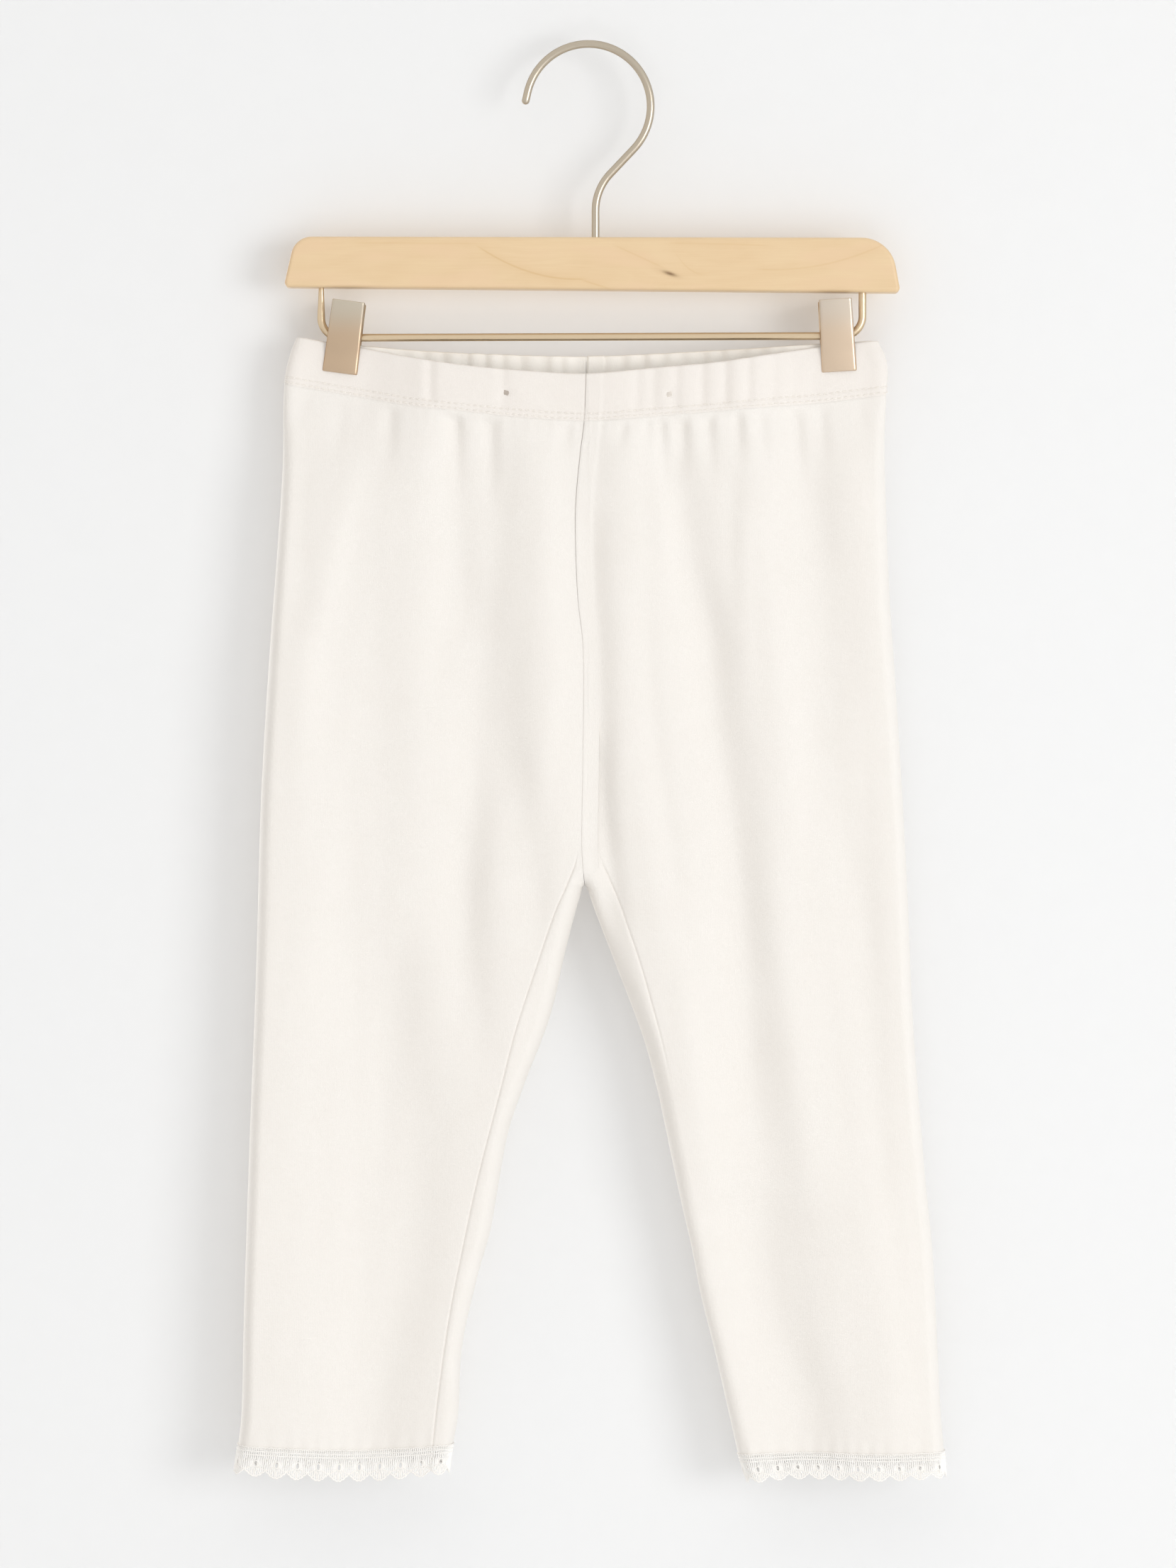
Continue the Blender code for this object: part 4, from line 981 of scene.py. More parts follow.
def make_casing(side, material, inside_painted_light_material):
    """One half of the waist casing, as a closed band with a rolled top edge."""
    shares = np.concatenate([
        (0.001, 0.014, 0.028), np.arange(0.045, 0.21, 0.016), np.linspace(0.24, 0.945, 16),
    ])
    front, back = places_across(CASING_STEP, 16), places_across(CASING_STEP, 12)
    surface, around = cloth_ring(side, 1 - shares, front, back)
    normals = outward(side, surface[::-1], np.zeros(len(shares), bool))[::-1]
    above = shares * CASING_HEIGHT
    outside = surface + normals * casing_proud(above[:, None], around)[..., None]
    wall = casing_wall(surface[..., 0], around > 0)
    inside = surface + normals * (CASING_PROUD - wall)[..., None]

    radius = 0.5 * np.linalg.norm(outside[-1] - inside[-1], axis=-1)[:, None]
    middle = 0.5 * (outside[-1] + inside[-1])
    up = np.array((0.0, 0.0, 1.0))
    roll = [
        middle + radius * (math.cos(turn) * normals[-1] + ROLL_HEIGHT * math.sin(turn) * up)
        for turn in np.linspace(0, math.pi, 9)[1:-1]
    ]
    kept = np.unique(np.linspace(len(shares) - 1, 0, 16).astype(int))[::-1]
    rows = np.concatenate([outside, np.stack(roll), inside[kept]])

    index = grid_index(rows)
    faces = [quads_of(np.concatenate([index, index[:1]])), index[:, 0][None], index[::-1, -1][None]]
    if side == "left":
        faces = flipped(faces)
    across = np.concatenate([around, np.repeat(around[-1:], len(roll), axis=0), around[kept]])
    down = np.concatenate([above, [CASING_HEIGHT] * len(roll), 2 * CASING_HEIGHT - above[kept]])
    uv = cloth_uv(across, np.broadcast_to(down[:, None], across.shape), faces)
    obj = new_mesh(f"casing_{side}", rows.reshape(-1, 3), faces, material, uv)
    # The inside of the band takes the paler cream: painted light that lifts its shade
    obj.data.materials.append(inside_painted_light_material)
    turned = np.zeros(len(obj.data.polygons), np.int32)
    turned[(len(shares) + len(roll) - 2) * (index.shape[1] - 1) : len(faces[0])] = 1
    obj.data.polygons.foreach_set("material_index", turned)
    return obj


def distance_along(points):
    steps = np.linalg.norm(np.diff(points, axis=0), axis=1)
    return np.concatenate([[0.0], np.cumsum(steps)])


def casing_line(side, share, proud):
    """A line round the casing at a share of its height: distance along it, points and normals."""
    levels = 1 - share + np.array((-0.01, 0.0, 0.01))
    points, _ = cloth_ring(side, levels, even_places(16, 260), even_places(12, 260))
    normals = outward(side, points, np.zeros(len(levels), bool))[1]
    points = points[1] + normals * proud
    return distance_along(points), points, normals


def read_line(line, at):
    """Points and normals at distances along a line."""
    along, points, normals = line
    return [
        np.stack([np.interp(at, along, values[:, k]) for k in range(3)], axis=-1)
        for values in (points, normals)
    ]


def make_allowance(face, material):
    """The joined and overcast edges behind a centre seam, turned to the right."""
    levels = np.concatenate([np.linspace(0.12, 0.999, 24), np.linspace(1.004, 1.975, 120)])
    places = np.array((-1.0, -0.4))
    left, right = (cloth_face(side, face, levels, places).points[:, 0] for side in SIDES)
    depth = np.minimum(np.abs(left[:, 1]), np.abs(right[:, 1]))[:, None]
    z = right[:, 2]
    wide = (0.3 + 0.7 * fade_up(z, *ALLOWANCE_FOOT))[:, None]
    close = (0.16 * fade_down(z, *ALLOWANCE_CLOSE) + ALLOWANCE_THICK * (levels < 1))[:, None]
    section = np.array(ALLOWANCE)
    loop = np.concatenate([section, section[::-1] - (0.0, ALLOWANCE_THICK)])
    x = through(SEAMS[face], z)[:, None] + loop[:, 0] * wide
    y = face * np.maximum(depth + loop[:, 1] + close, 0.2 - 0.03 * loop[:, 1])
    points = np.stack([x, y, np.broadcast_to(z[:, None], x.shape)], axis=-1)
    index = grid_index(points)
    band = quads_of(np.concatenate([index, index[:, :1]], axis=1))
    faces = [band, index[:1, ::-1], index[-1:]]
    if face == FRONT:
        faces = flipped(faces)
    uv = cloth_uv(points[..., 0], points[..., 2], faces)
    return new_mesh(f"seam_{FACES[face]}", points.reshape(-1, 3), faces, material, uv)


def make_stitches(side, material):
    """Two rows of small stitches round the casing."""
    threads = Threads()
    steps, lifts = np.array(STITCH_SHAPE).T
    for row in STITCH_ROWS:
        line = casing_line(side, row / CASING_HEIGHT, 0.1)
        for start in np.arange(1.2, line[0][-1] - 3.0, STITCH_PITCH):
            place, facing = read_line(line, start + steps)
            drift = np.array((0.0, 0.0, RNG.uniform(-0.12, 0.12)))
            place += facing * lifts[:, None]
            threads.add(place + drift, STITCH_THREAD, facing, sides=5)
    return threads.build(f"stitches_{side}", material)


def make_tack(side, material):
    """A small bar tack on the front of the casing."""
    threads = Threads()
    x, z = TACKS[side]
    share = (z - through(LEVELS[FRONT][1], np.array([x]))[0]) / CASING_HEIGHT
    along, points, normals = line = casing_line(side, share, 0.55)
    front = np.flatnonzero(normals[:, 1] < 0)
    middle = along[front[np.argmin(np.abs(points[front, 0] - x))]]
    across, lifts = np.array(TACK_SHAPE).T
    for k in range(TACK_BARS):
        lean = across * (1 if k % 2 else -1)
        place, facing = read_line(line, middle + lean)
        place[:, 2] += TACK_PITCH * (k - TACK_BARS // 2) + 0.25 * lean
        threads.add(place + facing * lifts[:, None], TACK_THREAD, facing, sides=6)
    return threads.build(f"tack_{side}", material)


class LaceCloth:
    """The lace's surface, read by distance round the hem and distance below it.

    The first scallop's middle lies on the front, close to where x is a multiple of the pitch.
    """

    def __init__(self, side):
        self.levels = np.linspace(HEM_LEVEL - 0.012, LACE_LEVEL, 14)
        front, back = even_places(14, 120), even_places(14, 110)
        self.points, _ = cloth_ring(side, self.levels, front, back)
        self.normals = outward(side, self.points, np.ones(len(self.levels), bool))
        middle = self.points[len(self.levels) // 2]
        self.along = distance_along(middle)
        self.count = int(round(self.along[-1] / LACE_PITCH))
        self.scale = self.along[-1] / (self.count * LACE_PITCH)
        first, last = PHASE_COLUMNS
        start = first + int(np.argmin(np.mod(middle[first:last, 0], LACE_PITCH)))
        self.phase = self.along[start] / self.scale
        drop = self.levels - HEM_LEVEL
        self.drops = drop * np.where(drop < 0, LEG_LENGTH, LACE_HEIGHT)

    def lay(self, threads, yarn, around, below, loop=False):
        """Adds a thread that lies on the lace."""
        at = np.mod((np.asarray(around) + self.phase) * self.scale, self.along[-1])
        column = np.interp(at, self.along, np.arange(len(self.along)))
        row = np.interp(below, self.drops, np.arange(len(self.levels)))
        i = np.minimum(row.astype(int), len(self.levels) - 2)
        j = np.minimum(column.astype(int), len(self.along) - 2)
        a, b = (row - i)[:, None], (column - j)[:, None]

        def mixed(grid):
            upper = grid[i, j] * (1 - b) + grid[i, j + 1] * b
            lower = grid[i + 1, j] * (1 - b) + grid[i + 1, j + 1] * b
            return upper * (1 - a) + lower * a

        facing = mixed(self.normals)
        place = mixed(self.points) + facing * yarn.lift
        threads.add(place, yarn.radius, facing, yarn.sides, loop)


def lace_foot(away):
    """How far the lace reaches below the hem at a distance from its scallop's middle."""
    dip = SCALLOP_DEPTH * (1 - np.abs(np.cos(math.pi * away / LACE_PITCH)))
    return LACE_HEIGHT - PICOT - dip


def bent(away, below):
    """Threads part round the eyelet."""
    near = bell(away, PARTED) * bell(below - EYELET.below, EYELET.tall)
    return away + np.copysign(1.0, away) * near


def add_net(net, cloth, middle):
    """One scallop's net: pillars that run down, then zigzags that link each to the next."""
    pillars = np.arange(-4.05, 4.5, NET_PITCH)
    for away in pillars:
        below = np.linspace(-1.0, lace_foot(away) - 0.1, 14)
        sway = 0.07 * np.sin(below * 3.1 + away)
        cloth.lay(net, PILLAR, middle + bent(away, below) + sway, below)
    for away in pillars:
        foot = min(lace_foot(away), lace_foot(away + NET_PITCH if away < 4 else away))
        below = np.arange(-0.4, foot - 0.1, 0.6)
        turn = np.where(np.arange(len(below)) % 2 == 0, away, away + NET_PITCH)
        pieces = [np.ones(len(below), bool)]
        if abs(away + 0.5 * NET_PITCH) < 0.1:
            pieces = [below < EYELET.below - EYELET.tall, below > EYELET.below + EYELET.tall]
        for chosen in pieces:
            if chosen.sum() > 2:
                around = middle + bent(turn[chosen], below[chosen])
                cloth.lay(net, LINK, around, below[chosen])


def add_ring(cords, cloth, middle, ring):
    turn = np.linspace(0, 2 * math.pi, ring.steps, endpoint=False)
    around, below = middle + ring.wide * np.sin(turn), ring.below + ring.tall * np.cos(turn)
    cloth.lay(cords, ring.yarn, around, below, loop=True)


def add_motif(cords, cloth, middle):
    """One scallop's cords: the eyelet, the spokes below it and a small ring beside it."""
    add_ring(cords, cloth, middle, EYELET)
    for spoke in SPOKES:
        start_below = EYELET.below + EYELET.tall * math.cos(spoke)
        start = np.array((EYELET.wide * math.sin(spoke), start_below))
        end_away = SPOKE_SPREAD * spoke / SPOKES[-1]
        end = np.array((end_away, lace_foot(end_away) - 0.3))
        line = start + (end - start) * np.linspace(0, 1, 6)[:, None]
        cloth.lay(cords, SPOKE, middle + line[:, 0], line[:, 1])
    add_ring(cords, cloth, middle + 0.5 * LACE_PITCH, SMALL_RING)


def make_lace(side, net_material, cord_material):
    """Knitted lace: a net of threads that part round an eyelet in each scallop, and its cords."""
    cloth = LaceCloth(side)
    net, cords = Threads(), Threads()
    for scallop in range(cloth.count):
        add_net(net, cloth, scallop * LACE_PITCH)
        add_motif(cords, cloth, scallop * LACE_PITCH)
    total = cloth.count * LACE_PITCH
    around = np.arange(0, total, 0.25)
    away = np.mod(around + 0.5 * LACE_PITCH, LACE_PITCH) - 0.5 * LACE_PITCH
    picot = PICOT * np.abs(np.sin(math.pi * around / PICOT_LENGTH))
    cloth.lay(cords, EDGE, around, lace_foot(away) + picot - 0.3, loop=True)
    around = np.arange(0, total, 0.6)
    for below, yarn in LACE_ROWS:
        wave = below + 0.16 * np.sin(2 * math.pi * around / 1.8)
        cloth.lay(cords, yarn, around, wave, loop=True)
    net = net.build(f"lace_net_{side}", net_material)
    return net, cords.build(f"lace_cords_{side}", cord_material)


def arc_points(centre, radius, start, end, steps):
    turn = np.radians(np.linspace(start, end, steps + 1))
    return np.stack([centre[0] + radius * np.cos(turn), centre[1] + radius * np.sin(turn)], axis=-1)


def bar_edge_z(x, top):
    (x0, z0, _), (x1, z1, _) = (BAR_CORNERS[3], BAR_CORNERS[2]) if top else BAR_CORNERS[:2]
    return z0 + (z1 - z0) * (x - x0) / (x1 - x0)


def round_wire(name, flat, material, round_tip=False):
    """A round wire through (x, z) points, with a domed tip if asked."""
    path = np.insert(flat, 1, 0.0, axis=1)
    size = np.full(len(path), WIRE_RADIUS)
    if round_tip:
        back = path[0] - path[1]
        back /= np.linalg.norm(back)
        turn = np.radians(np.array((88.0, 70.0, 50.0, 30.0, 12.0)))
        dome = path[0] + back * (WIRE_RADIUS * (np.sin(turn) - 1.0))[:, None]
        keep = np.linalg.norm(path - path[0], axis=1) > WIRE_RADIUS
        path = np.concatenate([dome, path[keep]])
        size = np.concatenate([WIRE_RADIUS * np.cos(turn), size[keep]])
    threads = Threads()
    tips = (1.0 if round_tip else THREAD_TIP, 1.0)
    threads.add(path, size, np.array((0.0, 1.0, 0.0)), sides=24, tips=tips)
    return threads.build(name, material)


def make_hook(material):
    tip = math.radians(HOOK_TIP_ANGLE)
    start = np.array((HOOK_RADIUS * math.cos(tip), HOOK_CENTRE_Z + HOOK_RADIUS * math.sin(tip)))
    end = start + np.array((-math.sin(tip), math.cos(tip))) * HOOK_TIP_RUN
    lead = end + (start - end) * np.linspace(0, 1, 8)[:-1, None]
    centre = (0.0, HOOK_CENTRE_Z)
    around = arc_points(centre, HOOK_RADIUS, HOOK_TIP_ANGLE, HOOK_LEAVE_ANGLE, 72)
    turn = math.cos(math.radians(HOOK_LEAVE_ANGLE))
    neck_x = STEM_X + NECK_RADIUS * (1 - turn)
    left_x, left_z = around[-1]
    neck_centre = (STEM_X + NECK_RADIUS, left_z - (left_x - neck_x) - NECK_RADIUS * turn)
    neck = arc_points(neck_centre, NECK_RADIUS, 180 + HOOK_LEAVE_ANGLE, 180, 24)
    foot = bar_edge_z(STEM_X, top=True) - SOCKET_DEPTH
    stem = np.array([(STEM_X, z) for z in np.linspace(neck[-1, 1] - 1.0, foot, 6)])
    path = np.concatenate([lead, around, neck, stem])
    return round_wire("hook_wire", path, material, round_tip=True)


def make_wire(material):
    (left_x, left_z), (right_x, right_z) = WIRE_LEFT, WIRE_RIGHT
    first = arc_points((left_x + BEND_RADIUS, left_z + BEND_RADIUS), BEND_RADIUS, 180, 270, 20)
    second = arc_points((right_x - BEND_RADIUS, right_z + BEND_RADIUS), BEND_RADIUS, 270, 360, 20)
    start, end = ([(x, bar_edge_z(x, top=False) + SOCKET_DEPTH)] for x in (left_x, right_x))
    between = first[-1] + (second[0] - first[-1]) * np.linspace(0, 1, 24)[1:-1, None]
    return round_wire("lower_wire", np.concatenate([start, first, between, second, end]), material)


def rounded_outline(corners, steps):
    """Points round an outline whose corners are (x, z, radius)."""
    points = []
    count = len(corners)
    for i, (x, z, radius) in enumerate(corners):
        here = Vector((x, z))
        before = (Vector(corners[i - 1][:2]) - here).normalized()
        after = (Vector(corners[(i + 1) % count][:2]) - here).normalized()
        half = 0.5 * before.angle(after)
        reach = radius / math.tan(half)
        centre = here + (before + after).normalized() * radius / math.sin(half)
        start, end = here + before * reach - centre, here + after * reach - centre
        turn = start.angle_signed(end)
        for k in range(steps + 1):
            points.append(centre + Matrix.Rotation(-turn * k / steps, 2) @ start)
    return points


def make_bar(material):
    """The wooden bar with softly rounded edges."""
    work = bmesh.new()
    outline = rounded_outline(BAR_CORNERS, 16)
    front = work.faces.new([work.verts.new((x, -0.5 * BAR_DEPTH, z)) for x, z in outline])
    moved = bmesh.ops.extrude_face_region(work, geom=[front])["geom"]
    corners = [item for item in moved if isinstance(item, bmesh.types.BMVert)]
    bmesh.ops.translate(work, vec=(0, BAR_DEPTH, 0), verts=corners)
    bmesh.ops.recalc_face_normals(work, faces=work.faces)
    rims = [edge for edge in work.edges if abs(edge.verts[0].co.y - edge.verts[1].co.y) < 0.1]
    bmesh.ops.bevel(work, geom=rims, offset=BAR_EDGE, segments=6, profile=0.5, affect="EDGES")
    broad = [face for face in work.faces if abs(face.normal.y) > 0.99 and face.calc_area() > 1000]
    bmesh.ops.inset_individual(work, faces=broad, thickness=0.4)
    bmesh.ops.scale(work, vec=(MM, MM, MM), verts=work.verts)
    mesh = bpy.data.meshes.new("bar")
    work.to_mesh(mesh)
    work.free()
    mesh.shade_smooth()
    mesh.materials.append(material)
    return add_object("bar", mesh)


def leaned(points, clip, x_shift=0.0):
    """Points of a clip, turned by its lean and moved to the wire."""
    x = clip.x + x_shift
    sine, cosine = math.sin(math.radians(clip.lean)), math.cos(math.radians(clip.lean))
    turned = points.copy()
    turned[..., 0] = x + points[..., 0] * cosine + points[..., 2] * sine
    turned[..., 2] = wire_height(x) - points[..., 0] * sine + points[..., 2] * cosine
    return turned


def plate_row(plate, tip, half, corner):
    """Points across a plate: left ear, rounded corner, crowned flat, and the same on the right."""
    turn = np.radians(np.linspace(180, 90, 9))
    flat = half - corner
    arc_x = -half + corner + corner * np.cos(turn)
    arc_y = plate - JAW_CROWN - corner + corner * np.sin(turn)
    arc_y = arc_y + JAW_CROWN * (1 - (flat / half) ** 2)
    flat_x = np.linspace(-1, 1, 15)[1:-1] * flat
    flat_y = plate - JAW_CROWN * (flat_x / half) ** 2
    left = [(-half, tip), (-half, 0.5 * (tip + arc_y[0])), *zip(arc_x, arc_y)]
    return [*left, *zip(flat_x, flat_y), *((-x, y) for x, y in reversed(left))]


def strip(loop):
    """Quads between the two halves of a loop, which goes out and comes back."""
    out, back = loop[: len(loop) // 2], loop[: len(loop) // 2 - 1 : -1]
    return np.stack([out[:-1], out[1:], back[1:], back[:-1]], axis=-1)


def make_plate(name, clip, face, material):
    """One pressed plate of a clip: a shallow channel of sheet metal with rounded edges."""
    top, foot = JAW_PROFILE[0].height, JAW_PROFILE[-1].height
    rim = np.array((0.0, 0.08, 0.25, 0.5))
    between = np.linspace(top - 1.2, foot + 1.2, 34)
    heights = np.concatenate([top - rim, between, foot + rim[::-1]])
    ends = np.minimum(top - heights, heights - foot)
    full = np.sqrt(np.clip(1 - (1 - np.minimum(ends / 0.5, 1.0)) ** 2, 0.04, 1.0))
    distance = through([(row.height, row.distance) for row in JAW_PROFILE], heights)
    distance = distance - 0.22 * fade_down(heights, foot + 3.0, 3.0)
    ear = through([(row.height, row.ear) for row in JAW_PROFILE], heights)
    share = (top - heights) / (top - foot)
    half = 0.5 * (JAW_TOP_WIDTH + (JAW_FOOT_WIDTH - JAW_TOP_WIDTH) * share)
    sheets = []
    for inward in (0.0, 1.0):
        step = inward * JAW_SHEET + (0.5 - inward) * JAW_SHEET * (1 - full)
        plate = distance + JAW_SHEET + JAW_CROWN - step
        corner = np.maximum(JAW_CORNER - step, 0.3)
        rows = zip(plate, distance - ear, half - step, corner)
        sheet = np.array([plate_row(*row) for row in rows])
        tall = np.broadcast_to(heights[:, None], sheet.shape[:2])
        sheets.append(np.stack([sheet[..., 0], face * sheet[..., 1], tall], axis=-1))
    loop = np.concatenate([sheets[0], sheets[1][:, ::-1]], axis=1)
    index = grid_index(loop)
    body = quads_of(np.concatenate([index, index[:, :1]], axis=1))
    faces = [body, strip(index[0])[:, ::-1], strip(index[-1])]
    if face == FRONT:
        faces = flipped(faces)
    return new_mesh(name, leaned(loop, clip).reshape(-1, 3), faces, material, sharp=70)


def make_spring(name, clip, material):
    """The torsion spring round the wire, with a leg behind each plate."""
    radius = SPRING_RADIUS - SPRING_WIRE
    turn = 0.5 * math.pi + np.linspace(0, 2 * math.pi * (SPRING_TURNS - 1), 190)
    x = np.linspace(-0.5, 0.5, len(turn)) * (SPRING_LENGTH - 2 * SPRING_WIRE)
    coil = np.stack([x, radius * np.sin(turn), radius * np.cos(turn)], axis=-1)
    start = np.array([(x[0], y, z) for y, z in SPRING_LEG])
    end = np.array([(x[-1], -y, z) for y, z in SPRING_LEG[::-1]])
    path = np.concatenate([start, coil, end])
    path = leaned(path, Clip(clip.x, 0.0), -math.copysign(SPRING_SHIFT, clip.x))
    threads = Threads()
    threads.add(path, SPRING_WIRE, np.array((1.0, 0.0, 0.0)), sides=10)
    return threads.build(name, material)


class Nodes:
    """A node tree, built one node at a time."""

    def __init__(self, tree):
        self.tree = tree

    def put(self, node, key, value):
        if isinstance(value, bpy.types.NodeSocket):
            self.tree.links.new(value, node.inputs[key])
        else:
            node.inputs[key].default_value = value

    def node(self, kind, out=0, inputs=None, **settings):
        node = self.tree.nodes.new(kind)
        for key, value in settings.items():
            setattr(node, key, value)
        for key, value in (inputs or {}).items():
            self.put(node, key, value)
        return node.outputs[out]

    def parts(self, vector):
        node = self.tree.nodes.new("ShaderNodeSeparateXYZ")
        self.put(node, 0, vector)
        return node.outputs


class Shader(Nodes):
    """A Principled material."""

    def __init__(self, name, **sockets):
        self.material = bpy.data.materials.new(name)
        self.material.use_nodes = True
        super().__init__(self.material.node_tree)
        self.bsdf = self.tree.nodes["Principled BSDF"]
        for key, value in sockets.items():
            self.put(self.bsdf, key.replace("_", " ").title(), value)

    def math(self, operation, first, second=0.0, third=0.0):
        inputs = {0: first, 1: second, 2: third}
        return self.node("ShaderNodeMath", inputs=inputs, operation=operation)

    def less(self, first, second):
        return self.math("SUBTRACT", first, second)

    def times(self, first, second):
        return self.math("MULTIPLY", first, second)

    def times_add(self, first, second, third):
        return self.math("MULTIPLY_ADD", first, second, third)

    def wave(self, value, length):
        return self.math("SINE", self.times(value, 2 * math.pi / length))

    def bell(self, value, width):
        share = self.math("DIVIDE", value, width)
        return self.math("EXPONENT", self.times(self.times(share, share), -1.0))

    def ramp(self, value, start, end):
        inputs = {0: value, 1: start, 2: end}
        return self.node("ShaderNodeMapRange", inputs=inputs, interpolation_type="SMOOTHSTEP")

    def noise(self, vector, scale, detail=2.0, roughness=0.5):
        inputs = {"Vector": vector, "Scale": scale, "Detail": detail, "Roughness": roughness}
        return self.node("ShaderNodeTexNoise", inputs=inputs)

    def stretched(self, vector, scale):
        return self.node("ShaderNodeVectorMath", inputs={0: vector, 1: scale}, operation="MULTIPLY")

    def grain(self, vector, scale, detail=2.0, roughness=0.5):
        """Noise with a scale of its own along each axis."""
        return self.noise(self.stretched(vector, scale), 1.0, detail, roughness)

    def blend(self, factor, first, second):
        node = self.tree.nodes.new("ShaderNodeMix")
        node.data_type = "RGBA"
        self.put(node, 0, factor)
        for key, colour in ((6, first), (7, second)):
            self.put(node, key, (*colour, 1.0) if isinstance(colour, tuple) else colour)
        return node.outputs[2]

    def bump(self, height, depth, strength):
        inputs = {"Height": height, "Distance": depth, "Strength": strength}
        self.put(self.bsdf, "Normal", self.node("ShaderNodeBump", inputs=inputs))

    def paint(self, colour):
        self.put(self.bsdf, "Base Color", colour)

    def place(self):
        """Object coordinates in millimetres."""
        return self.stretched(self.node("ShaderNodeTexCoord", out=3), (1000.0,) * 3)

    def cloth_place(self):
        """The cloth's own coordinates in millimetres."""
        return self.stretched(self.node("ShaderNodeTexCoord", out=2), (UV_UNIT,) * 3)


def jersey_material(name, colour, deep):
    """Fine knit: wales that run down, leaning courses, fuzz and faint pills."""
    shader = Shader(name, roughness=0.9, sheen_weight=0.15, sheen_roughness=0.45)
    cloth = shader.cloth_place()
    across, down, _ = shader.parts(cloth)
    wale = shader.math("ABSOLUTE", shader.wave(across, WALE_LENGTH))
    course = shader.wave(shader.times_add(wale, 0.22, down), COURSE_LENGTH)
    knit = shader.times_add(course, 0.3, wale)
    fuzz = shader.noise(cloth, 3.2, 3.0)
    soft = shader.noise(cloth, 0.09)
    pills = shader.noise(cloth, 0.55, 4.0)
    raised = shader.times_add(fuzz, 0.9, shader.times(knit, 0.25))
    raised = shader.times_add(pills, 1.6, raised)
    shader.bump(raised, 0.00016, 0.55)
    tone = shader.times_add(pills, 0.5, shader.times(soft, 0.7))
    shader.paint(shader.blend(tone, deep, colour))
    return shader.material


def thread_material(name, colour, deep, roughness):
    """Twisted yarn, for stitches, tacks and lace."""
    shader = Shader(name, roughness=roughness, sheen_weight=0.2, sheen_roughness=0.4)
    place = shader.place()
    twist = shader.noise(place, 4.0, 3.0)
    tone = shader.noise(place, 0.35)
    shader.bump(twist, 0.00012, 0.6)
    shader.paint(shader.blend(tone, deep, colour))
    return shader.material


def growth_mark(shader, x, z, growth):
    """How strongly one growth line marks the wood: crisp below it and soft above."""
    away = shader.less(x, growth.start)
    path = shader.times(away, shader.times_add(away, growth.bend, growth.slope))
    above = shader.less(shader.less(z, growth.height), path)
    mark = shader.times_add(shader.bell(above, 2.2), 0.3, shader.bell(above, 0.4))
    for first, last in ((growth.start, growth.start + 7.0), (growth.end, growth.end - 9.0)):
        mark = shader.times(mark, shader.ramp(x, first, last))
    return shader.times(mark, growth.strength)


def knot_reach(shader, x, z):
    """Distance from the knot, leaned with it and squashed to its shape."""
    aside, over = [shader.less(axis, at) for axis, at in zip((x, z), KNOT)]
    sine, cosine = math.sin(math.radians(KNOT_LEAN)), math.cos(math.radians(KNOT_LEAN))
    along = shader.times_add(over, sine, shader.times(aside, cosine))
    across = shader.times_add(aside, -sine, shader.times(over, cosine))
    sizes = zip((along, across), KNOT_SIZE)
    along, across = [shader.math("DIVIDE", part, size) for part, size in sizes]
    return shader.math("SQRT", shader.times_add(along, along, shader.times(across, across)))


def wood_material():
    """Beech: wavy grain, growth lines, a knot, and darker ends that are partly end grain and partly
    painted shade.
    """
    shader = Shader("pale_beech", coat_weight=0.25, coat_roughness=0.3)
    place = shader.place()
    x, y, z = shader.parts(place)
    reach = knot_reach(shader, x, z)
    flow = shader.grain(place, (0.012, 0.05, 0.05))
    grown = shader.times_add(flow, 42.0, z)
    grown = shader.times_add(y, 0.6, grown)
    grown = shader.times_add(shader.bell(reach, 2.6), 3.0, grown)
    rings = shader.wave(grown, 6.2)
    rings = shader.times_add(shader.wave(grown, 2.3), 0.35, rings)
    fine = shader.grain(place, (0.05, 2.2, 2.2), 4.0, 0.6)
    broad = shader.grain(place, (0.045, 0.10, 0.10))
    tone = shader.times_add(rings, 0.07, 0.5)
    tone = shader.times_add(shader.less(fine, 0.5), 0.9, tone)
    tone = shader.times_add(shader.less(broad, 0.5), 0.8, tone)
    colour = shader.blend(tone, WOOD_DEEP, WOOD_PALE)
    blush = shader.ramp(shader.grain(place, (0.03, 0.12, 0.12), 1.0), 0.42, 0.62)
    colour = shader.blend(shader.times(blush, 0.6), colour, WOOD_BLUSH)
    total, *marks = [growth_mark(shader, x, z, growth) for growth in GROWTHS]
    for mark in marks:
        total = shader.math("ADD", total, mark)
    marked = shader.math("MINIMUM", shader.times(total, 0.5), 0.6)
    colour = shader.blend(marked, colour, WOOD_GROWTH)
    # Faces that turn left or right are darkened: partly end grain, partly painted shade on the
    # bar's rounded ends
    facing = shader.node("ShaderNodeNewGeometry", out=1)
    end_grain_and_shade = shader.ramp(shader.math("ABSOLUTE", shader.parts(facing)[0]), 0.3, 0.9)
    colour = shader.blend(shader.times(end_grain_and_shade, 0.45), colour, WOOD_END_AND_SHADE)
    for width, strength, dark in KNOT_TONES:
        colour = shader.blend(shader.times(shader.bell(reach, width), strength), colour, dark)
    shader.paint(colour)
    shader.put(shader.bsdf, "Roughness", shader.times_add(fine, 0.18, 0.34))
    shader.bump(fine, 0.00010, 0.35)
    return shader.material


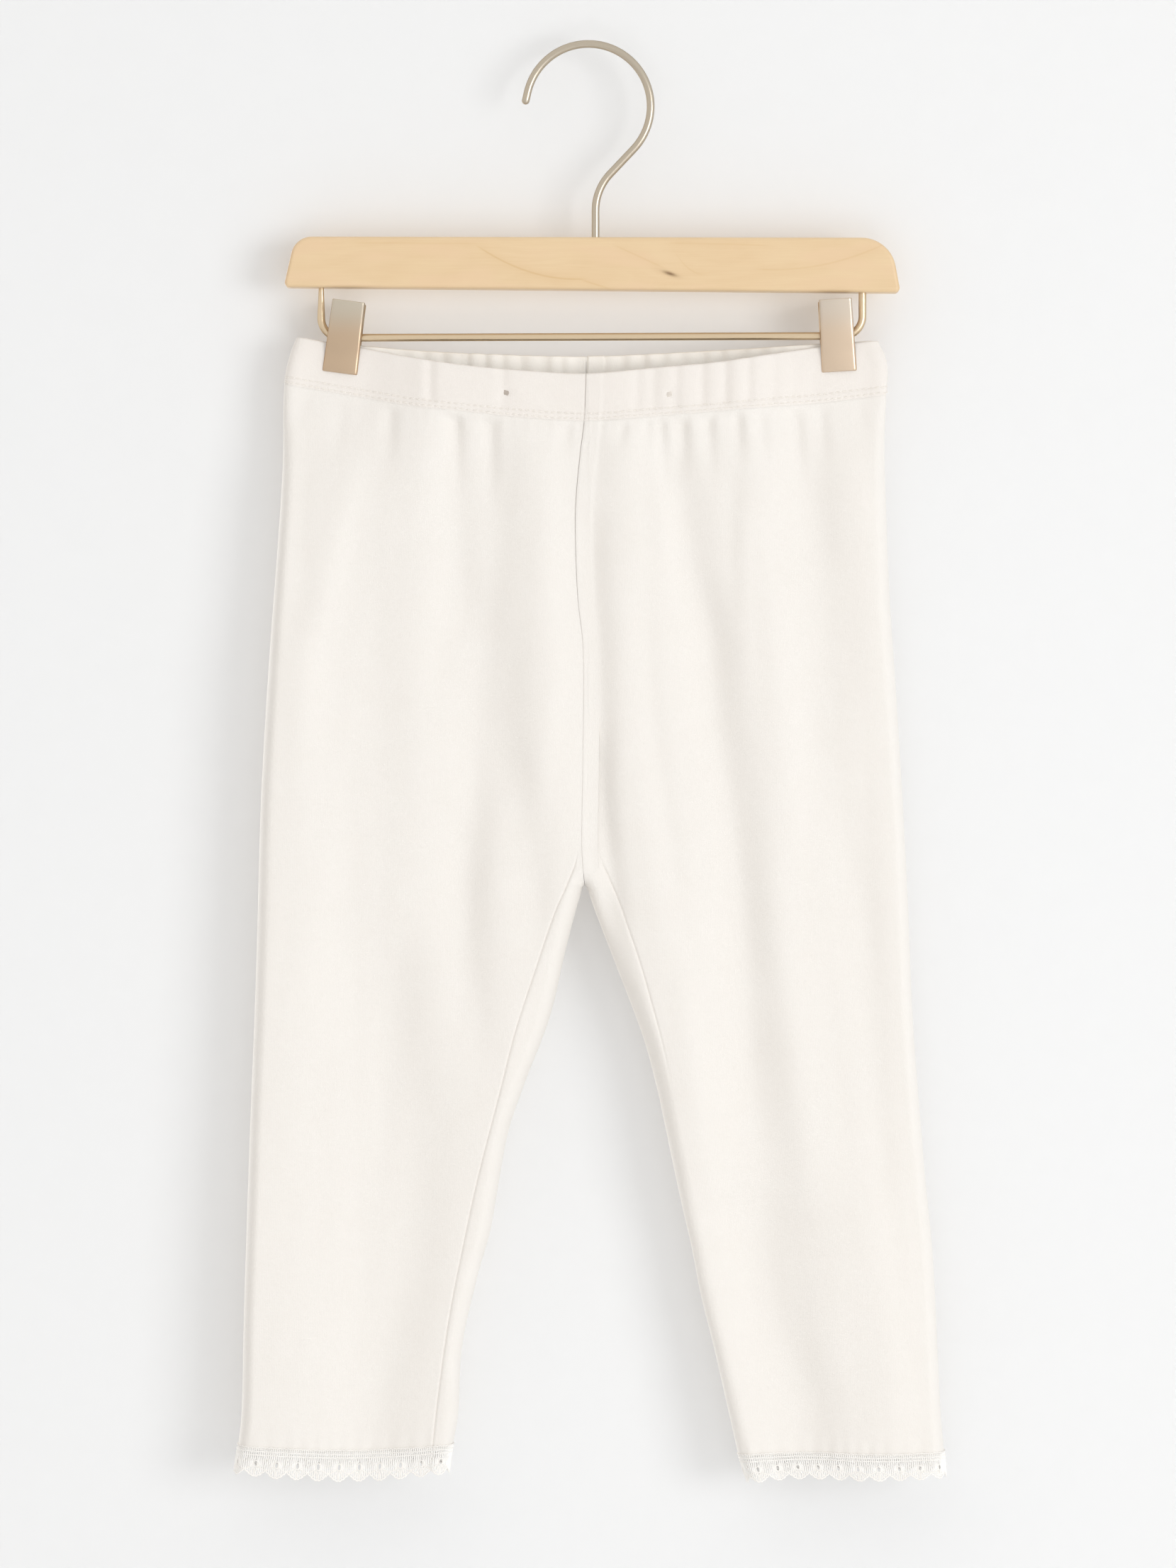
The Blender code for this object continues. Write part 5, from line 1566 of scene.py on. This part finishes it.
def metal_material(name, colour, dark, roughness, grain, upper=None):
    """Satin metal. Upper is a painted reflection: the greyer tone that it takes above the wire, as
    on the clip plates.
    """
    # The dark edge tint darkens the rims: a painted reflection of a dark room
    shader = Shader(name, metallic=1.0, specular_tint=(0.32, 0.25, 0.17, 1.0))
    place = shader.place()
    brushed = shader.grain(place, grain, 3.0, 0.6)
    worn = shader.noise(place, 0.12, 3.0)
    tone = shader.blend(shader.times_add(brushed, 0.35, 0.4), dark, colour)
    if upper:
        # Above the wire the plates take a greyer tone: a painted reflection
        tone = shader.blend(shader.ramp(shader.parts(place)[2], *PAINTED_REFLECTION_HEIGHTS), tone, upper)
    shader.paint(tone)
    shader.put(shader.bsdf, "Roughness", shader.times_add(worn, 0.14, roughness - 0.07))
    shader.bump(brushed, 0.00002, 0.1)
    return shader.material


def stage_material(name, see_through_back):
    """Matt and pale, and clear from behind if asked."""
    shader = Shader(name, roughness=0.85)
    grain = shader.noise(shader.place(), 0.08, 3.0)
    deep = tuple(part * 0.985 for part in STAGE_PALE)
    shader.paint(shader.blend(grain, deep, STAGE_PALE))
    if see_through_back:
        behind = shader.node("ShaderNodeNewGeometry", out=6)
        clear = shader.node("ShaderNodeBsdfTransparent")
        inputs = {0: behind, 1: shader.bsdf.outputs[0], 2: clear}
        mixed = shader.node("ShaderNodeMixShader", inputs=inputs)
        shader.put(shader.tree.nodes["Material Output"], "Surface", mixed)
    return shader.material


def plane(name, corners, material):
    mesh = bpy.data.meshes.new(name)
    mesh.from_pydata([Vector(corner) * MM for corner in corners], [], [tuple(range(len(corners)))])
    mesh.materials.append(material)
    obj = add_object(name, mesh)
    return obj


def make_stage():
    """A pale floor, and a pale wall that is clear from behind, so that the back can be seen.

    The wall throws no shadow, so that the light behind it reaches the cloth.
    """
    far = STAGE_REACH
    around = ((-far, -far), (far, -far), (far, far), (-far, far))
    floor = [(x, y, FLOOR_Z) for x, y in around]
    plane("stage_floor", floor, stage_material("stage_floor", False))
    corners = [(-far, *WALL_TOP), (-far, *WALL_FOOT), (far, *WALL_FOOT), (far, *WALL_TOP)]
    wall = plane("stage_wall", corners, stage_material("stage_wall", True))
    wall.visible_shadow = False


def make_lights():
    """The low light isn't mirrored, or the flat plates would show it."""
    for light in LIGHTS:
        data = bpy.data.lights.new(light.name, "AREA")
        data.shape, data.size = "DISK", light.size
        data.energy, data.color = light.power, light.colour
        obj = add_object(light.name, data)
        obj.location = light.place
        ahead = Vector(light.target) - Vector(light.place)
        obj.rotation_euler = ahead.to_track_quat("-Z", "Y").to_euler()
        obj.visible_glossy = light.mirrored


def make_world():
    """Even light, a little stronger from above, warm from the left and cool from the right."""
    world = bpy.data.worlds.new("studio")
    world.use_nodes = True
    nodes = Nodes(world.node_tree)
    background = nodes.tree.nodes["Background"]
    x, _, z = nodes.parts(nodes.node("ShaderNodeTexCoord"))
    low, high = WORLD_STRENGTH
    inputs = {0: z, 1: -1.0, 2: 1.0, 3: low, 4: high}
    nodes.put(background, 1, nodes.node("ShaderNodeMapRange", inputs=inputs))
    # Sockets 6 to 10 are the vector, the range that it comes from and the one that it goes to
    spread = nodes.node("ShaderNodeCombineXYZ", inputs={k: x for k in range(3)})
    inputs = {6: spread, 7: (-1.0,) * 3, 8: (1.0,) * 3, 9: WORLD_LEFT, 10: WORLD_RIGHT}
    sides = nodes.node("ShaderNodeMapRange", out=1, inputs=inputs, data_type="FLOAT_VECTOR")
    nodes.put(background, 0, sides)
    bpy.context.scene.world = world


def make_camera():
    """Straight on, far off, framed as the photograph is."""
    data = bpy.data.cameras.new("camera")
    data.sensor_fit = "AUTO"
    data.sensor_width = SENSOR
    data.lens = SENSOR * CAMERA_DISTANCE / (PHOTO_HEIGHT * MM_PER_PIXEL)
    obj = add_object("camera", data)
    x = (0.5 * PHOTO_WIDTH - ORIGIN_PIXEL[0]) * MM_PER_PIXEL
    z = (ORIGIN_PIXEL[1] - 0.5 * PHOTO_HEIGHT) * MM_PER_PIXEL
    obj.location = (x * MM, -CAMERA_DISTANCE * MM, z * MM)
    obj.rotation_euler = (math.radians(90), 0.0, 0.0)
    bpy.context.scene.camera = obj


def adopt(piece, slot, *nodes):
    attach(piece, "root")
    if nodes:
        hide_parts(*nodes)


make_camera()
make_stage()
make_lights()
make_world()
bpy.context.scene.view_settings.view_transform = "Standard"

jersey = jersey_material("fine_jersey", *CREAM)
jersey_casing = jersey_material("fine_jersey_casing", *CREAM_CASING)
# The casing's inside is painted light: a paler cream that lifts the shade in the waist opening
jersey_inside_painted_light = jersey_material("fine_jersey_inside", *CREAM_INSIDE_PAINTED_LIGHT)
thread = thread_material("sewing_thread", (0.90, 0.865, 0.81), (0.84, 0.80, 0.74), 0.7)
# The lace yarns are painted lighter than the cloth's cream: painted light that lifts the shade
# between the threads
net_yarn_painted_light = thread_material("lace_yarn", (0.945, 0.935, 0.915), (0.92, 0.90, 0.87), 0.9)
cord_yarn_painted_light = thread_material("lace_cord", (0.935, 0.915, 0.885), (0.90, 0.87, 0.83), 0.85)
# The tack threads are darker than the sewing thread, the left one most: painted shade of the dents
# round the tacks
left_tack_painted_shade = thread_material("dark_tack", (0.56, 0.50, 0.45), (0.44, 0.38, 0.33), 0.8)
right_tack_painted_shade = thread_material("pale_tack", (0.76, 0.71, 0.66), (0.68, 0.63, 0.57), 0.8)
wood = wood_material()
steel = metal_material("satin_nickel", *STEEL, 0.31, WIRE_GRAIN)
warm_steel = metal_material("satin_nickel_warm", *WARM_STEEL, 0.31, WIRE_GRAIN)
plates = {
    side: metal_material(f"champagne_plate_{side}", colour, dark, 0.36, PLATE_GRAIN, upper)
    for side, (colour, dark, upper) in PLATE_TONES.items()
}

for side in SIDES:
    leg = make_leg(side, jersey)
    adopt(leg, "cream_jersey", f"leg_panel_{side}")
    casing = make_casing(side, jersey_casing, jersey_inside_painted_light)
    adopt(casing, "cream_jersey", f"waist_casing_{side}")
    stitches = make_stitches(side, thread)
    adopt(stitches, "cream_jersey")
    net, cords = make_lace(side, net_yarn_painted_light, cord_yarn_painted_light)
    adopt(net, "cream_lace", f"lace_{side}")
    adopt(cords, "cream_lace")
for face in FACES:
    adopt(make_allowance(face, jersey), "cream_jersey")
adopt(make_tack("left", left_tack_painted_shade), "cream_jersey")
adopt(make_tack("right", right_tack_painted_shade), "cream_jersey")
adopt(make_bar(wood), "pale_wood", "hanger_bar")
adopt(make_hook(steel), "satin_steel", "hanger_hook")
adopt(make_wire(warm_steel), "satin_steel", "clip_wire")
for side, clip in CLIPS.items():
    for face, name in FACES.items():
        plate = make_plate(f"plate_{name}_{side}", clip, face, plates[side])
        adopt(plate, "champagne_metal", f"clip_{name}_{side}")
    adopt(make_spring(f"coil_{side}", clip, steel), "satin_steel", f"clip_spring_{side}")
